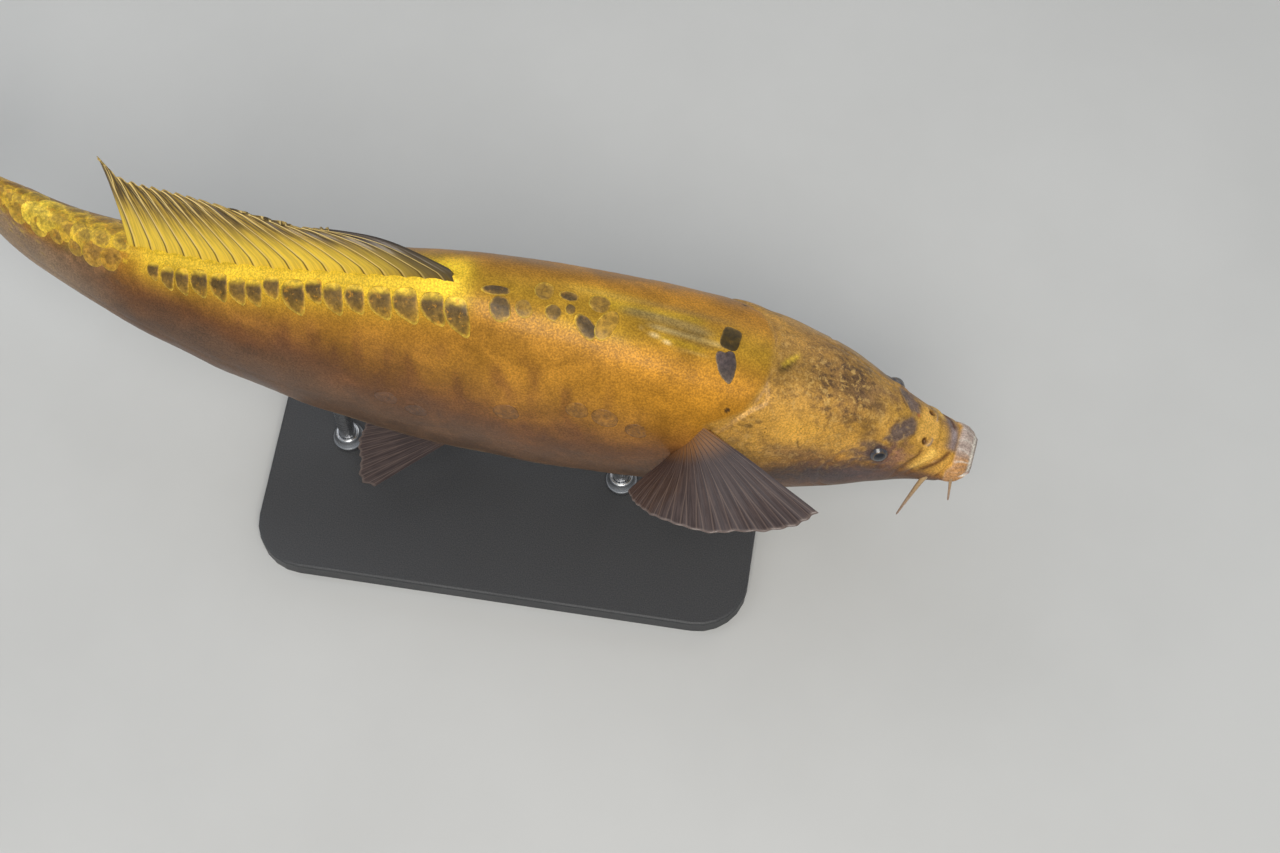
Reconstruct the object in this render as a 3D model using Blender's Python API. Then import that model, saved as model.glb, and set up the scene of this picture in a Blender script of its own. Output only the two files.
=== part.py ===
"""A mirror-scaled koi carp, life size and swimming, held by a plain display stand.

+X points to the head, +Y to the fish's left and +Z up, in metres. The origin is the middle of the
underside of the stand's base, and the spine passes over it at ORIGIN_SHARE of the body length. The body
is a loft of rounded sections along a spine that bends sideways: the head turns to the fish's right and
the tail stalk to its left. "Share" is a place along the body as a share of BODY_LENGTH, 0 at the groove
behind the lips and 1 at the end of the tail stalk. "Turn" is an angle round a section: 0 degrees is the
fish's left side, 90 the back, 180 its right side and 270 the belly.
"""
import math

import bmesh
import bpy
import numpy as np

for old in list(bpy.data.objects):
    bpy.data.objects.remove(old, do_unlink=True)

# ---------------------------------------------------------------- driving sizes
BODY_LENGTH = 0.56        # lip groove to the end of the tail stalk
SPINE_HEIGHT = 0.165      # spine above the underside of the stand
ORIGIN_SHARE = 0.45       # place of the spine that lies over the origin
GAP = 0.0003              # clearance between neighbouring solids
HEAD_TURN = 0.2126        # sets how far the head turns to the fish's right, in radians
HEAD_TURN_SHARE = 0.30    # the head's turn starts here and grows forwards
HEAD_TURN_LIMIT = 0.75    # part of the way to the snout where the turn stops growing
TAIL_TURN = 0.4426        # radians that the tail turns to the fish's left at share 1
TAIL_TURN_SHARE = 0.481   # the tail's turn starts here and grows backwards

# share, top, bottom and half width, all as shares of the body length
STATIONS = (
    (-0.019, -0.0150, -0.0410, 0.0225),
    (-0.015, -0.0110, -0.0450, 0.0270),
    (-0.007, -0.0070, -0.0490, 0.0312),
    (0.000, -0.0045, -0.0515, 0.0318),
    (0.030, 0.0179, -0.0675, 0.0352),
    (0.070, 0.0418, -0.0807, 0.0474),
    (0.120, 0.0681, -0.0936, 0.0662),
    (0.200, 0.0949, -0.1040, 0.0832),
    (0.300, 0.1249, -0.1184, 0.0888),
    (0.400, 0.1475, -0.1305, 0.0876),
    (0.480, 0.1594, -0.1355, 0.0822),
    (0.600, 0.1390, -0.1169, 0.0727),
    (0.720, 0.1038, -0.0867, 0.0589),
    (0.820, 0.0780, -0.0644, 0.0467),
    (0.900, 0.0634, -0.0536, 0.0351),
    (1.000, 0.0589, -0.0518, 0.0195),
    (1.020, 0.0540, -0.0470, 0.0085),
)
# share, and the height of the widest line between bottom (0) and top (1)
WIDEST_LINE = ((0.0, 0.40), (0.06, 0.40), (0.20, 0.44), (1.0, 0.46))
# share, and the power that rounds the back: lower is more like a ridged roof
BACK_POWER = ((0.0, 2.15), (0.22, 2.15), (0.45, 1.90), (0.85, 1.90), (1.0, 2.0))
BELLY_POWER = 2.15

# places where the body is parted, as shares
MOUTH_END = 0.010
HEAD_END = 0.215
FRONT_TRUNK_END = 0.450
REAR_TRUNK_END = 0.800
BODY_START = -0.019
BODY_END = 1.020
RING_POINTS = 32
HEAD_RING_STEP = 0.0115
TRUNK_RING_STEP = 0.029

MOUTH_DEPTH = 0.020       # share that the mouth's hollow reaches back from the lips
LIP_THICKNESS = 0.0042

GILL_THICKNESS = 0.004
GILL_GAP = 0.0008         # clearance round the gill cover's edge
GILL_ROWS = 12
GILL_COLUMNS = 7
# turn in degrees, front share and rear share of the right gill cover's outline
GILL_OUTLINE = (
    (118.0, 0.168, 0.1855), (128.0, 0.152, 0.2010), (140.0, 0.142, 0.2190), (153.0, 0.138, 0.2370),
    (170.0, 0.134, 0.2290), (190.0, 0.130, 0.2120), (212.0, 0.124, 0.1900), (232.0, 0.118, 0.1600),
)

EYE_SHARE = 0.068
EYE_TURN = 149.0
EYE_RADIUS = 0.0066
EYE_PROUD = 0.0020        # how far the ball stands out of the head

# place across the fin (0 front, 1 rear), sweep back as a share, height over the body's middle line
DORSAL_FRONT = 0.482
DORSAL_REAR = 0.822
DORSAL_LEAN = 15.0        # degrees to the fish's left
DORSAL_SHAPE = (
    (0.00, 0.129, 0.0300), (0.19, 0.094, 0.0312), (0.42, 0.093, 0.0413), (0.66, 0.072, 0.0462),
    (0.88, 0.044, 0.0482), (1.00, 0.030, 0.0600),
)
ANAL_FRONT = 0.765
ANAL_REAR = 0.830
ANAL_SHAPE = ((0.0, 0.078, 0.0450), (0.35, 0.070, 0.0400), (0.7, 0.052, 0.0300), (1.0, 0.036, 0.0200))
MEDIAN_ROOT = 0.0045      # fin roots start this deep inside the body before they are trimmed

CAUDAL_SPREAD = 37.0      # degrees between the outermost ray and the middle
CAUDAL_SHORT = 0.058      # middle ray length
CAUDAL_LONG = 0.122       # outermost ray length
CAUDAL_ROOT_SHARE = 0.992
CAUDAL_MIDDLE = 0.0035    # height of the fork's middle as a share
CAUDAL_HALF_ROOT = 0.046  # half height of the fin's root as a share

# rays: forward, outward and upward parts of the first and last one; lengths: theirs in metres
PECTORAL_SHARES = (0.246, 0.262)
PECTORAL_TURNS = (145.0, 167.0)
PECTORAL_RAYS = {
    "right": ((0.84, 0.52, 0.16), (-0.60, 0.77, 0.20)),
    "left": ((0.20, 0.45, -0.87), (-0.62, 0.42, -0.50)),
}
PECTORAL_LENGTHS = (0.086, 0.036)
PECTORAL_FALL = 0.9       # how the rays shorten from first to last: below 1, early
PELVIC_SHARES = (0.487, 0.512)
PELVIC_TURNS = (246.0, 254.0)
PELVIC_RAYS = ((-0.70, 0.34, -0.50), (-0.96, 0.06, -0.16))
PELVIC_LENGTHS = (0.072, 0.046)
PELVIC_FALL = 1.7

FIN_CUP = 0.006           # how far a paired fin's edge bends down
FIN_ROOT_THICKNESS = 0.0042
FIN_EDGE_THICKNESS = 0.0009

# barbels: share, turn, length, root radius and direction (forward, outward, up)
BARBEL_TIP_RADIUS = 0.0005
BARBELS = {
    "front": (-0.004, 146.0, 0.016, 0.0011, (0.10, 0.42, -0.62)),
    "rear": (0.018, 178.0, 0.030, 0.0016, (-0.30, 0.40, -0.80)),
}

STAND_LENGTH = 0.30
STAND_WIDTH = 0.17
STAND_THICKNESS = 0.012
STAND_CORNER = 0.030
STAND_BEVEL = 0.0015
ROD_RADIUS = 0.005
ROD_SHARES = {"front": 0.335, "rear": 0.640}


# ---------------------------------------------------------------- curves through the stations
def smooth_through(knots_x, knots_y, x):
    """Monotone cubic through the knots: it never swings past a knot's value."""
    knots_x, knots_y = np.asarray(knots_x, float), np.asarray(knots_y, float)
    step = np.diff(knots_x)
    slope = np.diff(knots_y) / step
    tangent = np.zeros_like(knots_x)
    same_way = slope[:-1] * slope[1:] > 0
    weight_a, weight_b = 2 * step[1:] + step[:-1], step[1:] + 2 * step[:-1]
    harmonic = np.zeros_like(slope[:-1])
    harmonic[same_way] = (weight_a + weight_b)[same_way] / (
        weight_a[same_way] / slope[:-1][same_way] + weight_b[same_way] / slope[1:][same_way])
    tangent[1:-1] = harmonic
    tangent[0], tangent[-1] = slope[0], slope[-1]
    x = np.clip(np.asarray(x, float), knots_x[0], knots_x[-1])
    i = np.clip(np.searchsorted(knots_x, x) - 1, 0, len(step) - 1)
    t = (x - knots_x[i]) / step[i]
    start = (1 + 2 * t) * (1 - t) ** 2 * knots_y[i] + t * (1 - t) ** 2 * step[i] * tangent[i]
    end = t * t * (3 - 2 * t) * knots_y[i + 1] + t * t * (t - 1) * step[i] * tangent[i + 1]
    return start + end


def heading(share):
    """Angle of the spine at a share: the way to the tail is (-cos, +sin) of it."""
    to_head = np.clip((HEAD_TURN_SHARE - share) / HEAD_TURN_SHARE, 0.0, HEAD_TURN_LIMIT)
    to_tail = np.clip((share - TAIL_TURN_SHARE) / (1.0 - TAIL_TURN_SHARE), 0.0, 1.8)
    return HEAD_TURN * to_head ** 2 + TAIL_TURN * to_tail ** 1.5


SPINE_SHARES = np.linspace(-0.06, 1.45, 1511)
_angles = heading(SPINE_SHARES)
_step = BODY_LENGTH * (SPINE_SHARES[1] - SPINE_SHARES[0])
_run_x = np.concatenate(([0.0], np.cumsum(-(np.cos(_angles[1:]) + np.cos(_angles[:-1])) / 2 * _step)))
_run_y = np.concatenate(([0.0], np.cumsum((np.sin(_angles[1:]) + np.sin(_angles[:-1])) / 2 * _step)))
SPINE_X = _run_x - np.interp(ORIGIN_SHARE, SPINE_SHARES, _run_x)
SPINE_Y = _run_y - np.interp(ORIGIN_SHARE, SPINE_SHARES, _run_y)


def spine(share):
    """Point of the spine at a share, an array of the shape of share with x, y and z last."""
    share = np.asarray(share, float)
    x = np.interp(share, SPINE_SHARES, SPINE_X)
    y = np.interp(share, SPINE_SHARES, SPINE_Y)
    return np.stack((x, y, np.full_like(x, SPINE_HEIGHT)), axis=-1)


def sideways(share):
    """Unit vector to the fish's left at a share."""
    angle = heading(np.asarray(share, float))
    return np.stack((np.sin(angle), np.cos(angle), np.zeros_like(angle)), axis=-1)


def forwards(share):
    """Unit vector to the head at a share."""
    angle = heading(np.asarray(share, float))
    return np.stack((np.cos(angle), -np.sin(angle), np.zeros_like(angle)), axis=-1)


UP = np.array((0.0, 0.0, 1.0))


def profile(share):
    """Top, bottom, half width, height of the widest line and power of the back at a share."""
    table = np.array(STATIONS)
    top, bottom, width = (smooth_through(table[:, 0], table[:, c], share) for c in (1, 2, 3))
    level = np.interp(share, *np.array(WIDEST_LINE).T)
    power = np.interp(share, *np.array(BACK_POWER).T)
    return top, bottom, width, bottom + level * (top - bottom), power


def on_body(share, turn, grow=0.0):
    """Points of the body's surface at shares and turns (degrees), pushed out by grow."""
    share, turn = np.broadcast_arrays(np.asarray(share, float), np.radians(np.asarray(turn, float)))
    top, bottom, width, middle, power = profile(share)
    across, up = np.cos(turn), np.sin(turn)
    power = np.where(up > 0, power, BELLY_POWER)
    across = np.sign(across) * np.abs(across) ** (2 / power)
    up = np.sign(up) * np.abs(up) ** (2 / power)
    reach = np.where(up > 0, (top - middle) * BODY_LENGTH + grow, (middle - bottom) * BODY_LENGTH + grow)
    side = (width * BODY_LENGTH + grow) * across
    rise = middle * BODY_LENGTH + reach * up
    return spine(share) + side[..., None] * sideways(share) + rise[..., None] * UP


def body_normal(share, turn):
    """Outward unit normal of the body's surface."""
    small = 1e-3
    along = on_body(share + small, turn) - on_body(share - small, turn)
    around = on_body(share, np.asarray(turn) + 0.5) - on_body(share, np.asarray(turn) - 0.5)
    normal = np.cross(along, around)
    return normal / np.linalg.norm(normal, axis=-1, keepdims=True)


def ring_shares(first, last):
    """Shares of the sections from first to last, closer together in the head."""
    head = np.arange(BODY_START, HEAD_END, HEAD_RING_STEP)
    trunk = np.linspace(HEAD_END, BODY_END, int(round((BODY_END - HEAD_END) / TRUNK_RING_STEP)) + 1)
    inside = np.concatenate((head, trunk, (-0.015, 1.0)))
    inside = inside[(inside > first + 0.002) & (inside < last - 0.002)]
    return np.unique(np.concatenate(((first,), inside, (last,))).round(5))


RING_TURNS = np.arange(RING_POINTS) * 360.0 / RING_POINTS


# ---------------------------------------------------------------- objects
def finish(name, color, roughness, metallic=0.0):
    """A Principled BSDF material."""
    material = bpy.data.materials.new(name)
    material.use_nodes = True
    shader = material.node_tree.nodes["Principled BSDF"]
    shader.inputs["Base Color"].default_value = (*color, 1.0)
    shader.inputs["Roughness"].default_value = roughness
    shader.inputs["Metallic"].default_value = metallic
    material.diffuse_color = (*color, 1.0)
    return material


def add_object(name, points, faces, material, smooth=40.0):
    """A closed mesh object whose faces point outwards."""
    mesh = bpy.data.meshes.new(name)
    mesh.from_pydata(np.asarray(points).reshape(-1, 3).tolist(), [], faces)
    work = bmesh.new()
    work.from_mesh(mesh)
    bmesh.ops.recalc_face_normals(work, faces=work.faces)
    work.to_mesh(mesh)
    work.free()
    mesh.materials.append(material)
    mesh.shade_smooth()
    mesh.set_sharp_from_angle(angle=math.radians(smooth))
    thing = bpy.data.objects.new(name, mesh)
    bpy.context.scene.collection.objects.link(thing)
    return thing


def tube_faces(rings, points):
    """Quads between rings of a tube, plus a flat cap at each end."""
    faces = [
        (r * points + p, r * points + (p + 1) % points,
         (r + 1) * points + (p + 1) % points, (r + 1) * points + p)
        for r in range(rings - 1) for p in range(points)]
    faces.append(tuple(range(points)))
    faces.append(tuple((rings - 1) * points + p for p in range(points)))
    return faces


def sheet_faces(rows, columns):
    """Faces of a two-sided sheet whose second side's points follow the first side's."""
    second = rows * columns
    faces = []
    for r in range(rows - 1):
        for c in range(columns - 1):
            a, b = r * columns + c, r * columns + c + 1
            d, e = a + columns, b + columns
            faces.append((a, b, e, d))
            faces.append((second + a, second + d, second + e, second + b))
    edge = [c for c in range(columns)]
    edge += [r * columns + columns - 1 for r in range(1, rows)]
    edge += [(rows - 1) * columns + c for c in range(columns - 2, -1, -1)]
    edge += [r * columns for r in range(rows - 2, 0, -1)]
    for a, b in zip(edge, edge[1:] + edge[:1]):
        faces.append((a, second + a, second + b, b))
    return faces


def add_sheet(name, middle, thickness, material):
    """A fin: a grid of middle points given the thickness at each point."""
    down, along = np.gradient(middle, axis=0), np.gradient(middle, axis=1)
    normal = np.cross(down, along)
    normal /= np.linalg.norm(normal, axis=-1, keepdims=True)
    half = (np.broadcast_to(thickness, middle.shape[:2]) / 2)[..., None] * normal
    points = np.stack((middle + half, middle - half))
    return add_object(name, points, sheet_faces(*middle.shape[:2]), material, smooth=50.0)


def cutter(thing):
    """Turns an object into a hidden cutting guide."""
    thing.hide_render = True
    thing.display_type = "WIRE"
    return thing


def cut(thing, tool):
    """Takes tool's volume out of thing."""
    step = thing.modifiers.new("cut " + tool.name, "BOOLEAN")
    step.operation = "DIFFERENCE"
    step.solver = "EXACT"
    step.object = tool
    return step


# ---------------------------------------------------------------- body
def add_body_length(name, first, last, material, grow=0.0):
    """A length of the body between two shares, closed by a flat section at each end."""
    shares = ring_shares(first, last)
    points = on_body(shares[:, None], RING_TURNS[None, :], grow)
    return add_object(name, points, tube_faces(len(shares), RING_POINTS), material)


def add_mouth(material):
    """The lips: a ring whose inner side runs back to a closed hollow."""
    outer_shares = ring_shares(BODY_START, MOUTH_END - GAP / BODY_LENGTH / 2)[::-1]
    outer = on_body(outer_shares[:, None], RING_TURNS[None, :])
    inner_shares = np.linspace(BODY_START + 0.001, BODY_START + MOUTH_DEPTH, 5)
    narrowing = LIP_THICKNESS * (1.0 + 0.35 * np.linspace(0.0, 1.0, 5) ** 2)
    rim = on_body(np.full(RING_POINTS, BODY_START - 0.0022), RING_TURNS, -LIP_THICKNESS * 0.45)
    inner = np.stack([on_body(np.full(RING_POINTS, share), RING_TURNS, -wall)
                      for share, wall in zip(inner_shares, narrowing)])
    rings = np.concatenate((outer, rim[None], inner))
    return add_object("mouth", rings, tube_faces(len(rings), RING_POINTS), material, smooth=60.0)


def add_gill_cover(name, mirrored, material, swell=0.0):
    """A curved plate in the body's surface; swell makes the larger shape of its pocket."""
    outline = np.array(GILL_OUTLINE)
    turn = np.linspace(outline[0, 0], outline[-1, 0], GILL_ROWS)
    front = smooth_through(outline[:, 0], outline[:, 1], turn)
    rear = smooth_through(outline[:, 0], outline[:, 2], turn)
    margin = swell / BODY_LENGTH
    place = np.linspace(0.0, 1.0, GILL_COLUMNS)[None, :]
    share = (front - margin)[:, None] * (1 - place) + (rear + margin)[:, None] * place
    turn_margin = np.degrees(swell / (0.075 * BODY_LENGTH))
    turn = turn + turn_margin * np.linspace(-1.0, 1.0, GILL_ROWS)
    turn = 180.0 - turn if mirrored else turn
    turn = np.broadcast_to(turn[:, None], share.shape)
    outward = 0.003 if swell else 0.0
    outer = on_body(share, turn, outward)
    inner = on_body(share, turn) - (GILL_THICKNESS + swell) * body_normal(share, turn)
    return add_object(name, np.stack((outer, inner)), sheet_faces(*share.shape), material, smooth=50.0)


def add_eye(name, mirrored, material, swell=0.0):
    """The eyeball, or the larger ball of its socket."""
    turn = 180.0 - EYE_TURN if mirrored else EYE_TURN
    centre = on_body(EYE_SHARE, turn) - (EYE_RADIUS - EYE_PROUD) * body_normal(EYE_SHARE, turn)
    work = bmesh.new()
    bmesh.ops.create_uvsphere(work, u_segments=14, v_segments=9, radius=EYE_RADIUS + swell)
    bmesh.ops.translate(work, verts=work.verts, vec=centre.tolist())
    points = [tuple(v.co) for v in work.verts]
    faces = [tuple(v.index for v in f.verts) for f in work.faces]
    work.free()
    return add_object(name, points, faces, material)


def add_barbel(name, kind, mirrored, material):
    """A feeler: a round taper that bends down towards its tip."""
    share, turn, length, radius, way = BARBELS[kind]
    side = 1.0 if mirrored else -1.0
    turn = 180.0 - turn if mirrored else turn
    sides, rings = 8, 9
    place = np.linspace(0.0, 1.0, rings)
    start = on_body(share, turn) - 0.003 * body_normal(share, turn)
    direction = way[0] * forwards(share) + side * way[1] * sideways(share) + way[2] * UP
    direction /= np.linalg.norm(direction)
    sag = -0.22 * length * place[:, None] ** 2 * UP
    path = start + (length + 0.003) * place[:, None] * direction + sag
    along = np.gradient(path, axis=0)
    along /= np.linalg.norm(along, axis=1, keepdims=True)
    first = np.cross(along, sideways(share))
    first /= np.linalg.norm(first, axis=1, keepdims=True)
    second = np.cross(along, first)
    girth = radius + (BARBEL_TIP_RADIUS - radius) * place ** 1.2
    angle = np.arange(sides) * 2 * math.pi / sides
    ring = np.cos(angle)[None, :, None] * first[:, None] + np.sin(angle)[None, :, None] * second[:, None]
    points = path[:, None] + girth[:, None, None] * ring
    return add_object(name, points, tube_faces(rings, sides), material)


# ---------------------------------------------------------------- fins
def fin_thickness(place, rows):
    """Thickness from root to edge, the same along every ray."""
    taper = FIN_EDGE_THICKNESS + (FIN_ROOT_THICKNESS - FIN_EDGE_THICKNESS) * (1 - place) ** 1.6
    return np.broadcast_to(taper[None, :], (rows, len(place)))


def add_median_fin(name, front, rear, shape, turn, lean, rows, columns, material):
    """A fin on the body's middle line: rays rise from the line and sweep back."""
    table = np.array(shape)
    across = np.linspace(0.0, 1.0, rows)
    sweep = smooth_through(table[:, 0], table[:, 1], across)
    height = smooth_through(table[:, 0], table[:, 2], across)
    out = np.linspace(0.0, 1.0, columns)
    bow = 1.7 - 0.35 * across
    root = front + (rear - front) * across
    share = root[:, None] + sweep[:, None] * out[None, :]
    rise = height[:, None] * (1.0 - (1.0 - out[None, :]) ** bow[:, None])
    rise[:, 0] -= MEDIAN_ROOT
    sign = 1.0 if turn == 90.0 else -1.0
    ridge = on_body(share, turn)[..., 2] - SPINE_HEIGHT
    lean = math.radians(lean)
    middle = spine(share) + ridge[..., None] * UP + rise[..., None] * (
        sign * math.cos(lean) * UP + math.sin(lean) * sideways(share))
    return add_sheet(name, middle, fin_thickness(out, rows), material)


def add_paired_fin(name, shares, turns, rays, lengths, fall, mirrored, rows, columns, material):
    """A fin beside the body: rays fan from a short root line."""
    side = 1.0 if mirrored else -1.0
    across = np.linspace(0.0, 1.0, rows)
    share = shares[0] + (shares[1] - shares[0]) * across
    turn = turns[0] + (turns[1] - turns[0]) * across
    turn = 180.0 - turn if mirrored else turn
    root = on_body(share, turn) - MEDIAN_ROOT * body_normal(share, turn)
    way = (1 - across)[:, None] * np.array(rays[0]) + across[:, None] * np.array(rays[1])
    way /= np.linalg.norm(way, axis=1, keepdims=True)
    ray = way[:, :1] * forwards(share) + side * way[:, 1:2] * sideways(share) + way[:, 2:] * UP
    rounding = 0.94 + 0.06 * np.sin(math.pi * np.clip(across / 0.35, 0.0, 1.0))
    length = (lengths[0] + (lengths[1] - lengths[0]) * across ** fall) * rounding + MEDIAN_ROOT
    out = np.linspace(0.0, 1.0, columns)
    cup = FIN_CUP * (length / max(lengths))[:, None] * out[None, :] ** 2
    middle = root[:, None] + (length[:, None] * out[None, :])[..., None] * ray[:, None]
    middle = middle - cup[..., None] * (UP + 0.3 * forwards(share)[:, None])
    return add_sheet(name, middle, fin_thickness(out, rows), material)


def add_tail_lobe(name, upper, material, rows=9, columns=9):
    """One lobe of the tail fin, from the fork's middle ray to the outermost ray."""
    sign = 1.0 if upper else -1.0
    across = np.linspace(0.0, 1.0, rows)
    angle = np.radians(CAUDAL_SPREAD) * across ** 0.9
    rounding = 1.0 - 0.05 * np.clip((across - 0.8) / 0.2, 0.0, 1.0) ** 2
    length = (CAUDAL_SHORT + (CAUDAL_LONG - CAUDAL_SHORT) * across ** 1.15) * rounding
    out = np.linspace(0.0, 1.0, columns)
    reach = length[:, None] * out[None, :]
    share = CAUDAL_ROOT_SHARE + reach * np.cos(angle)[:, None] / BODY_LENGTH
    root = GAP / 2 + CAUDAL_HALF_ROOT * BODY_LENGTH * across
    rise = CAUDAL_MIDDLE * BODY_LENGTH + sign * (root[:, None] + reach * np.sin(angle)[:, None])
    middle = spine(share) + rise[..., None] * UP
    return add_sheet(name, middle, fin_thickness(out, rows), material)


# ---------------------------------------------------------------- stand
def add_stand_base(material):
    """A flat plate with round corners and slightly broken edges."""
    half_x, half_y = STAND_LENGTH / 2 - STAND_CORNER, STAND_WIDTH / 2 - STAND_CORNER
    steps = 7
    outline = []
    for corner, (sx, sy) in enumerate(((1, 1), (-1, 1), (-1, -1), (1, -1))):
        for step in range(steps):
            angle = math.radians(90.0 * corner + 90.0 * step / (steps - 1))
            outline.append((sx * half_x + STAND_CORNER * math.cos(angle),
                            sy * half_y + STAND_CORNER * math.sin(angle), 0.0))
    work = bmesh.new()
    face = work.faces.new([work.verts.new(p) for p in outline])
    raised = bmesh.ops.extrude_face_region(work, geom=[face])
    top = [v for v in raised["geom"] if isinstance(v, bmesh.types.BMVert)]
    bmesh.ops.translate(work, verts=top, vec=(0.0, 0.0, STAND_THICKNESS))
    rim = [e for e in work.edges if all(v.co.z > STAND_THICKNESS / 2 for v in e.verts)]
    bmesh.ops.bevel(work, geom=rim, offset=STAND_BEVEL, segments=2, affect="EDGES", profile=0.5)
    work.verts.ensure_lookup_table()
    work.verts.index_update()
    points = [tuple(v.co) for v in work.verts]
    faces = [tuple(v.index for v in f.verts) for f in work.faces]
    work.free()
    return add_object("stand_base", points, faces, material, smooth=30.0)


def add_rod(name, share, material):
    """A round rod from the base up into the belly, where it is trimmed to the body's shape."""
    x, y, _ = spine(share)
    sides = 20
    angle = np.arange(sides) * 2 * math.pi / sides
    ring = (x, y, 0.0) + ROD_RADIUS * np.stack((np.cos(angle), np.sin(angle), np.zeros(sides)), axis=-1)
    bottom = ring + (STAND_THICKNESS + GAP) * UP
    top = ring + (SPINE_HEIGHT - 0.03) * UP
    return add_object(name, np.stack((bottom, top)), tube_faces(2, sides), material)


# ---------------------------------------------------------------- the whole
def build():
    """Makes every piece of the fish and its stand."""
    flank = finish("gold_skin", (0.52, 0.33, 0.07), 0.35, 0.3)
    crown = finish("head_skin", (0.45, 0.29, 0.08), 0.35, 0.3)
    lips = finish("lip_skin", (0.66, 0.54, 0.34), 0.35)
    cover = finish("gill_cover_skin", (0.50, 0.33, 0.09), 0.32, 0.3)
    ray_web = finish("golden_fin", (0.48, 0.36, 0.10), 0.40, 0.1)
    dark_web = finish("brown_fin", (0.20, 0.14, 0.09), 0.45)
    eye = finish("eye", (0.05, 0.06, 0.08), 0.08)
    feeler = finish("barbel_skin", (0.50, 0.40, 0.22), 0.40)
    plate = finish("stand_plate", (0.06, 0.06, 0.065), 0.45)
    steel = finish("stand_steel", (0.62, 0.63, 0.65), 0.28, 1.0)

    half_gap = GAP / BODY_LENGTH / 2
    mouth = add_mouth(lips)
    head = add_body_length("head", MOUTH_END + half_gap, HEAD_END - half_gap, crown)
    front_trunk = add_body_length("front_trunk", HEAD_END + half_gap, FRONT_TRUNK_END - half_gap, flank)
    add_body_length("rear_trunk", FRONT_TRUNK_END + half_gap, REAR_TRUNK_END - half_gap, flank)
    add_body_length("tail_stalk", REAR_TRUNK_END + half_gap, BODY_END, flank)
    envelope = cutter(add_body_length("body_envelope", BODY_START, BODY_END, flank, GAP))

    for side, mirrored in (("left", True), ("right", False)):
        add_gill_cover(f"{side}_gill_cover", mirrored, cover)
        pocket = cutter(add_gill_cover(f"{side}_gill_pocket", mirrored, cover, GILL_GAP))
        cut(head, pocket)
        cut(front_trunk, pocket)
        add_eye(f"{side}_eye", mirrored, eye)
        cut(head, cutter(add_eye(f"{side}_eye_socket", mirrored, eye, GAP)))
        for kind in BARBELS:
            cut(add_barbel(f"{side}_{kind}_barbel", kind, mirrored, feeler), envelope)
        pectoral = add_paired_fin(f"{side}_pectoral_fin", PECTORAL_SHARES, PECTORAL_TURNS,
                                  PECTORAL_RAYS[side], PECTORAL_LENGTHS, PECTORAL_FALL,
                                  mirrored, 12, 8, dark_web)
        pelvic = add_paired_fin(f"{side}_pelvic_fin", PELVIC_SHARES, PELVIC_TURNS,
                                PELVIC_RAYS, PELVIC_LENGTHS, PELVIC_FALL, mirrored, 9, 7, dark_web)
        cut(pectoral, envelope)
        cut(pelvic, envelope)

    fins = (
        add_median_fin("dorsal_fin", DORSAL_FRONT, DORSAL_REAR, DORSAL_SHAPE, 90.0, DORSAL_LEAN,
                       19, 7, ray_web),
        add_median_fin("anal_fin", ANAL_FRONT, ANAL_REAR, ANAL_SHAPE, 270.0, 0.0, 8, 6, dark_web),
        add_tail_lobe("tail_fin_upper_lobe", True, ray_web),
        add_tail_lobe("tail_fin_lower_lobe", False, ray_web),
    )
    for fin in fins:
        cut(fin, envelope)

    add_stand_base(plate)
    for place, share in ROD_SHARES.items():
        cut(add_rod(f"stand_rod_{place}", share, steel), envelope)
    return mouth


build()
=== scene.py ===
"""Finish of a life-size mirror-scaled koi carp on a plain display stand.

+X points to the head, +Y to the fish's left and +Z up, in metres. Places on the body are given by a
share of its length (0 at the groove behind the lips, 1 at the end of the tail stalk) and either by a
turn in degrees (0 the left side, 90 the back, 180 the right side, 270 the belly) or by a back angle, the
degrees down from the middle of the back, 0 at the back and 180 at the belly, on a stated side. Spots and
lines give their shares in thousandths, and a negative back angle is over on the other side.
"""

import logging
import math
from dataclasses import dataclass, field
from enum import Enum
from functools import reduce
from typing import Callable, Optional, Union

import bpy
import numpy as np
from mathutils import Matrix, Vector


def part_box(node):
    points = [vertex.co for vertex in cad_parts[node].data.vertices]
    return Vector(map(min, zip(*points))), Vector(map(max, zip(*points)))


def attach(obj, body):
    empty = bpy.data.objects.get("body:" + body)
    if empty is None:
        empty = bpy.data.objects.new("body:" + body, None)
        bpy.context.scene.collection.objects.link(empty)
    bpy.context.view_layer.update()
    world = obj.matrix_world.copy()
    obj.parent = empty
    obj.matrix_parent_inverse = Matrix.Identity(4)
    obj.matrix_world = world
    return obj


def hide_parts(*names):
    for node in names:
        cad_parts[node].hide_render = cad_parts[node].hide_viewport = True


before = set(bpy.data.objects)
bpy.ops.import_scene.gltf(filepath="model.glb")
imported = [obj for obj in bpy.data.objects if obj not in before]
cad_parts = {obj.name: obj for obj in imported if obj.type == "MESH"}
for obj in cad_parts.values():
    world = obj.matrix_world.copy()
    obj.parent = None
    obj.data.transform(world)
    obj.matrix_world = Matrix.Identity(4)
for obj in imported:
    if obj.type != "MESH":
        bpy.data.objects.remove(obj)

LOG = logging.getLogger("koi")
Array = np.ndarray
Colour = tuple[float, float, float]
Output = bpy.types.NodeSocket
Socket = Union[Output, float]

UP = np.array((0.0, 0.0, 1.0))
MM = 0.001
FULL_TURN = 2.0 * math.pi
SEED = 26


class Side(Enum):
    """A side of the fish, with the sign of its direction along +Y."""

    LEFT = 1.0
    RIGHT = -1.0
    BOTH = 0.0

    def each(self) -> tuple:
        """The sides that are meant, the left one first."""
        return (Side.LEFT, Side.RIGHT) if self is Side.BOTH else (self,)

    def word(self) -> str:
        """The side's name in small letters."""
        return self.name.lower()


LEFT, RIGHT = Side.LEFT, Side.RIGHT


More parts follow.
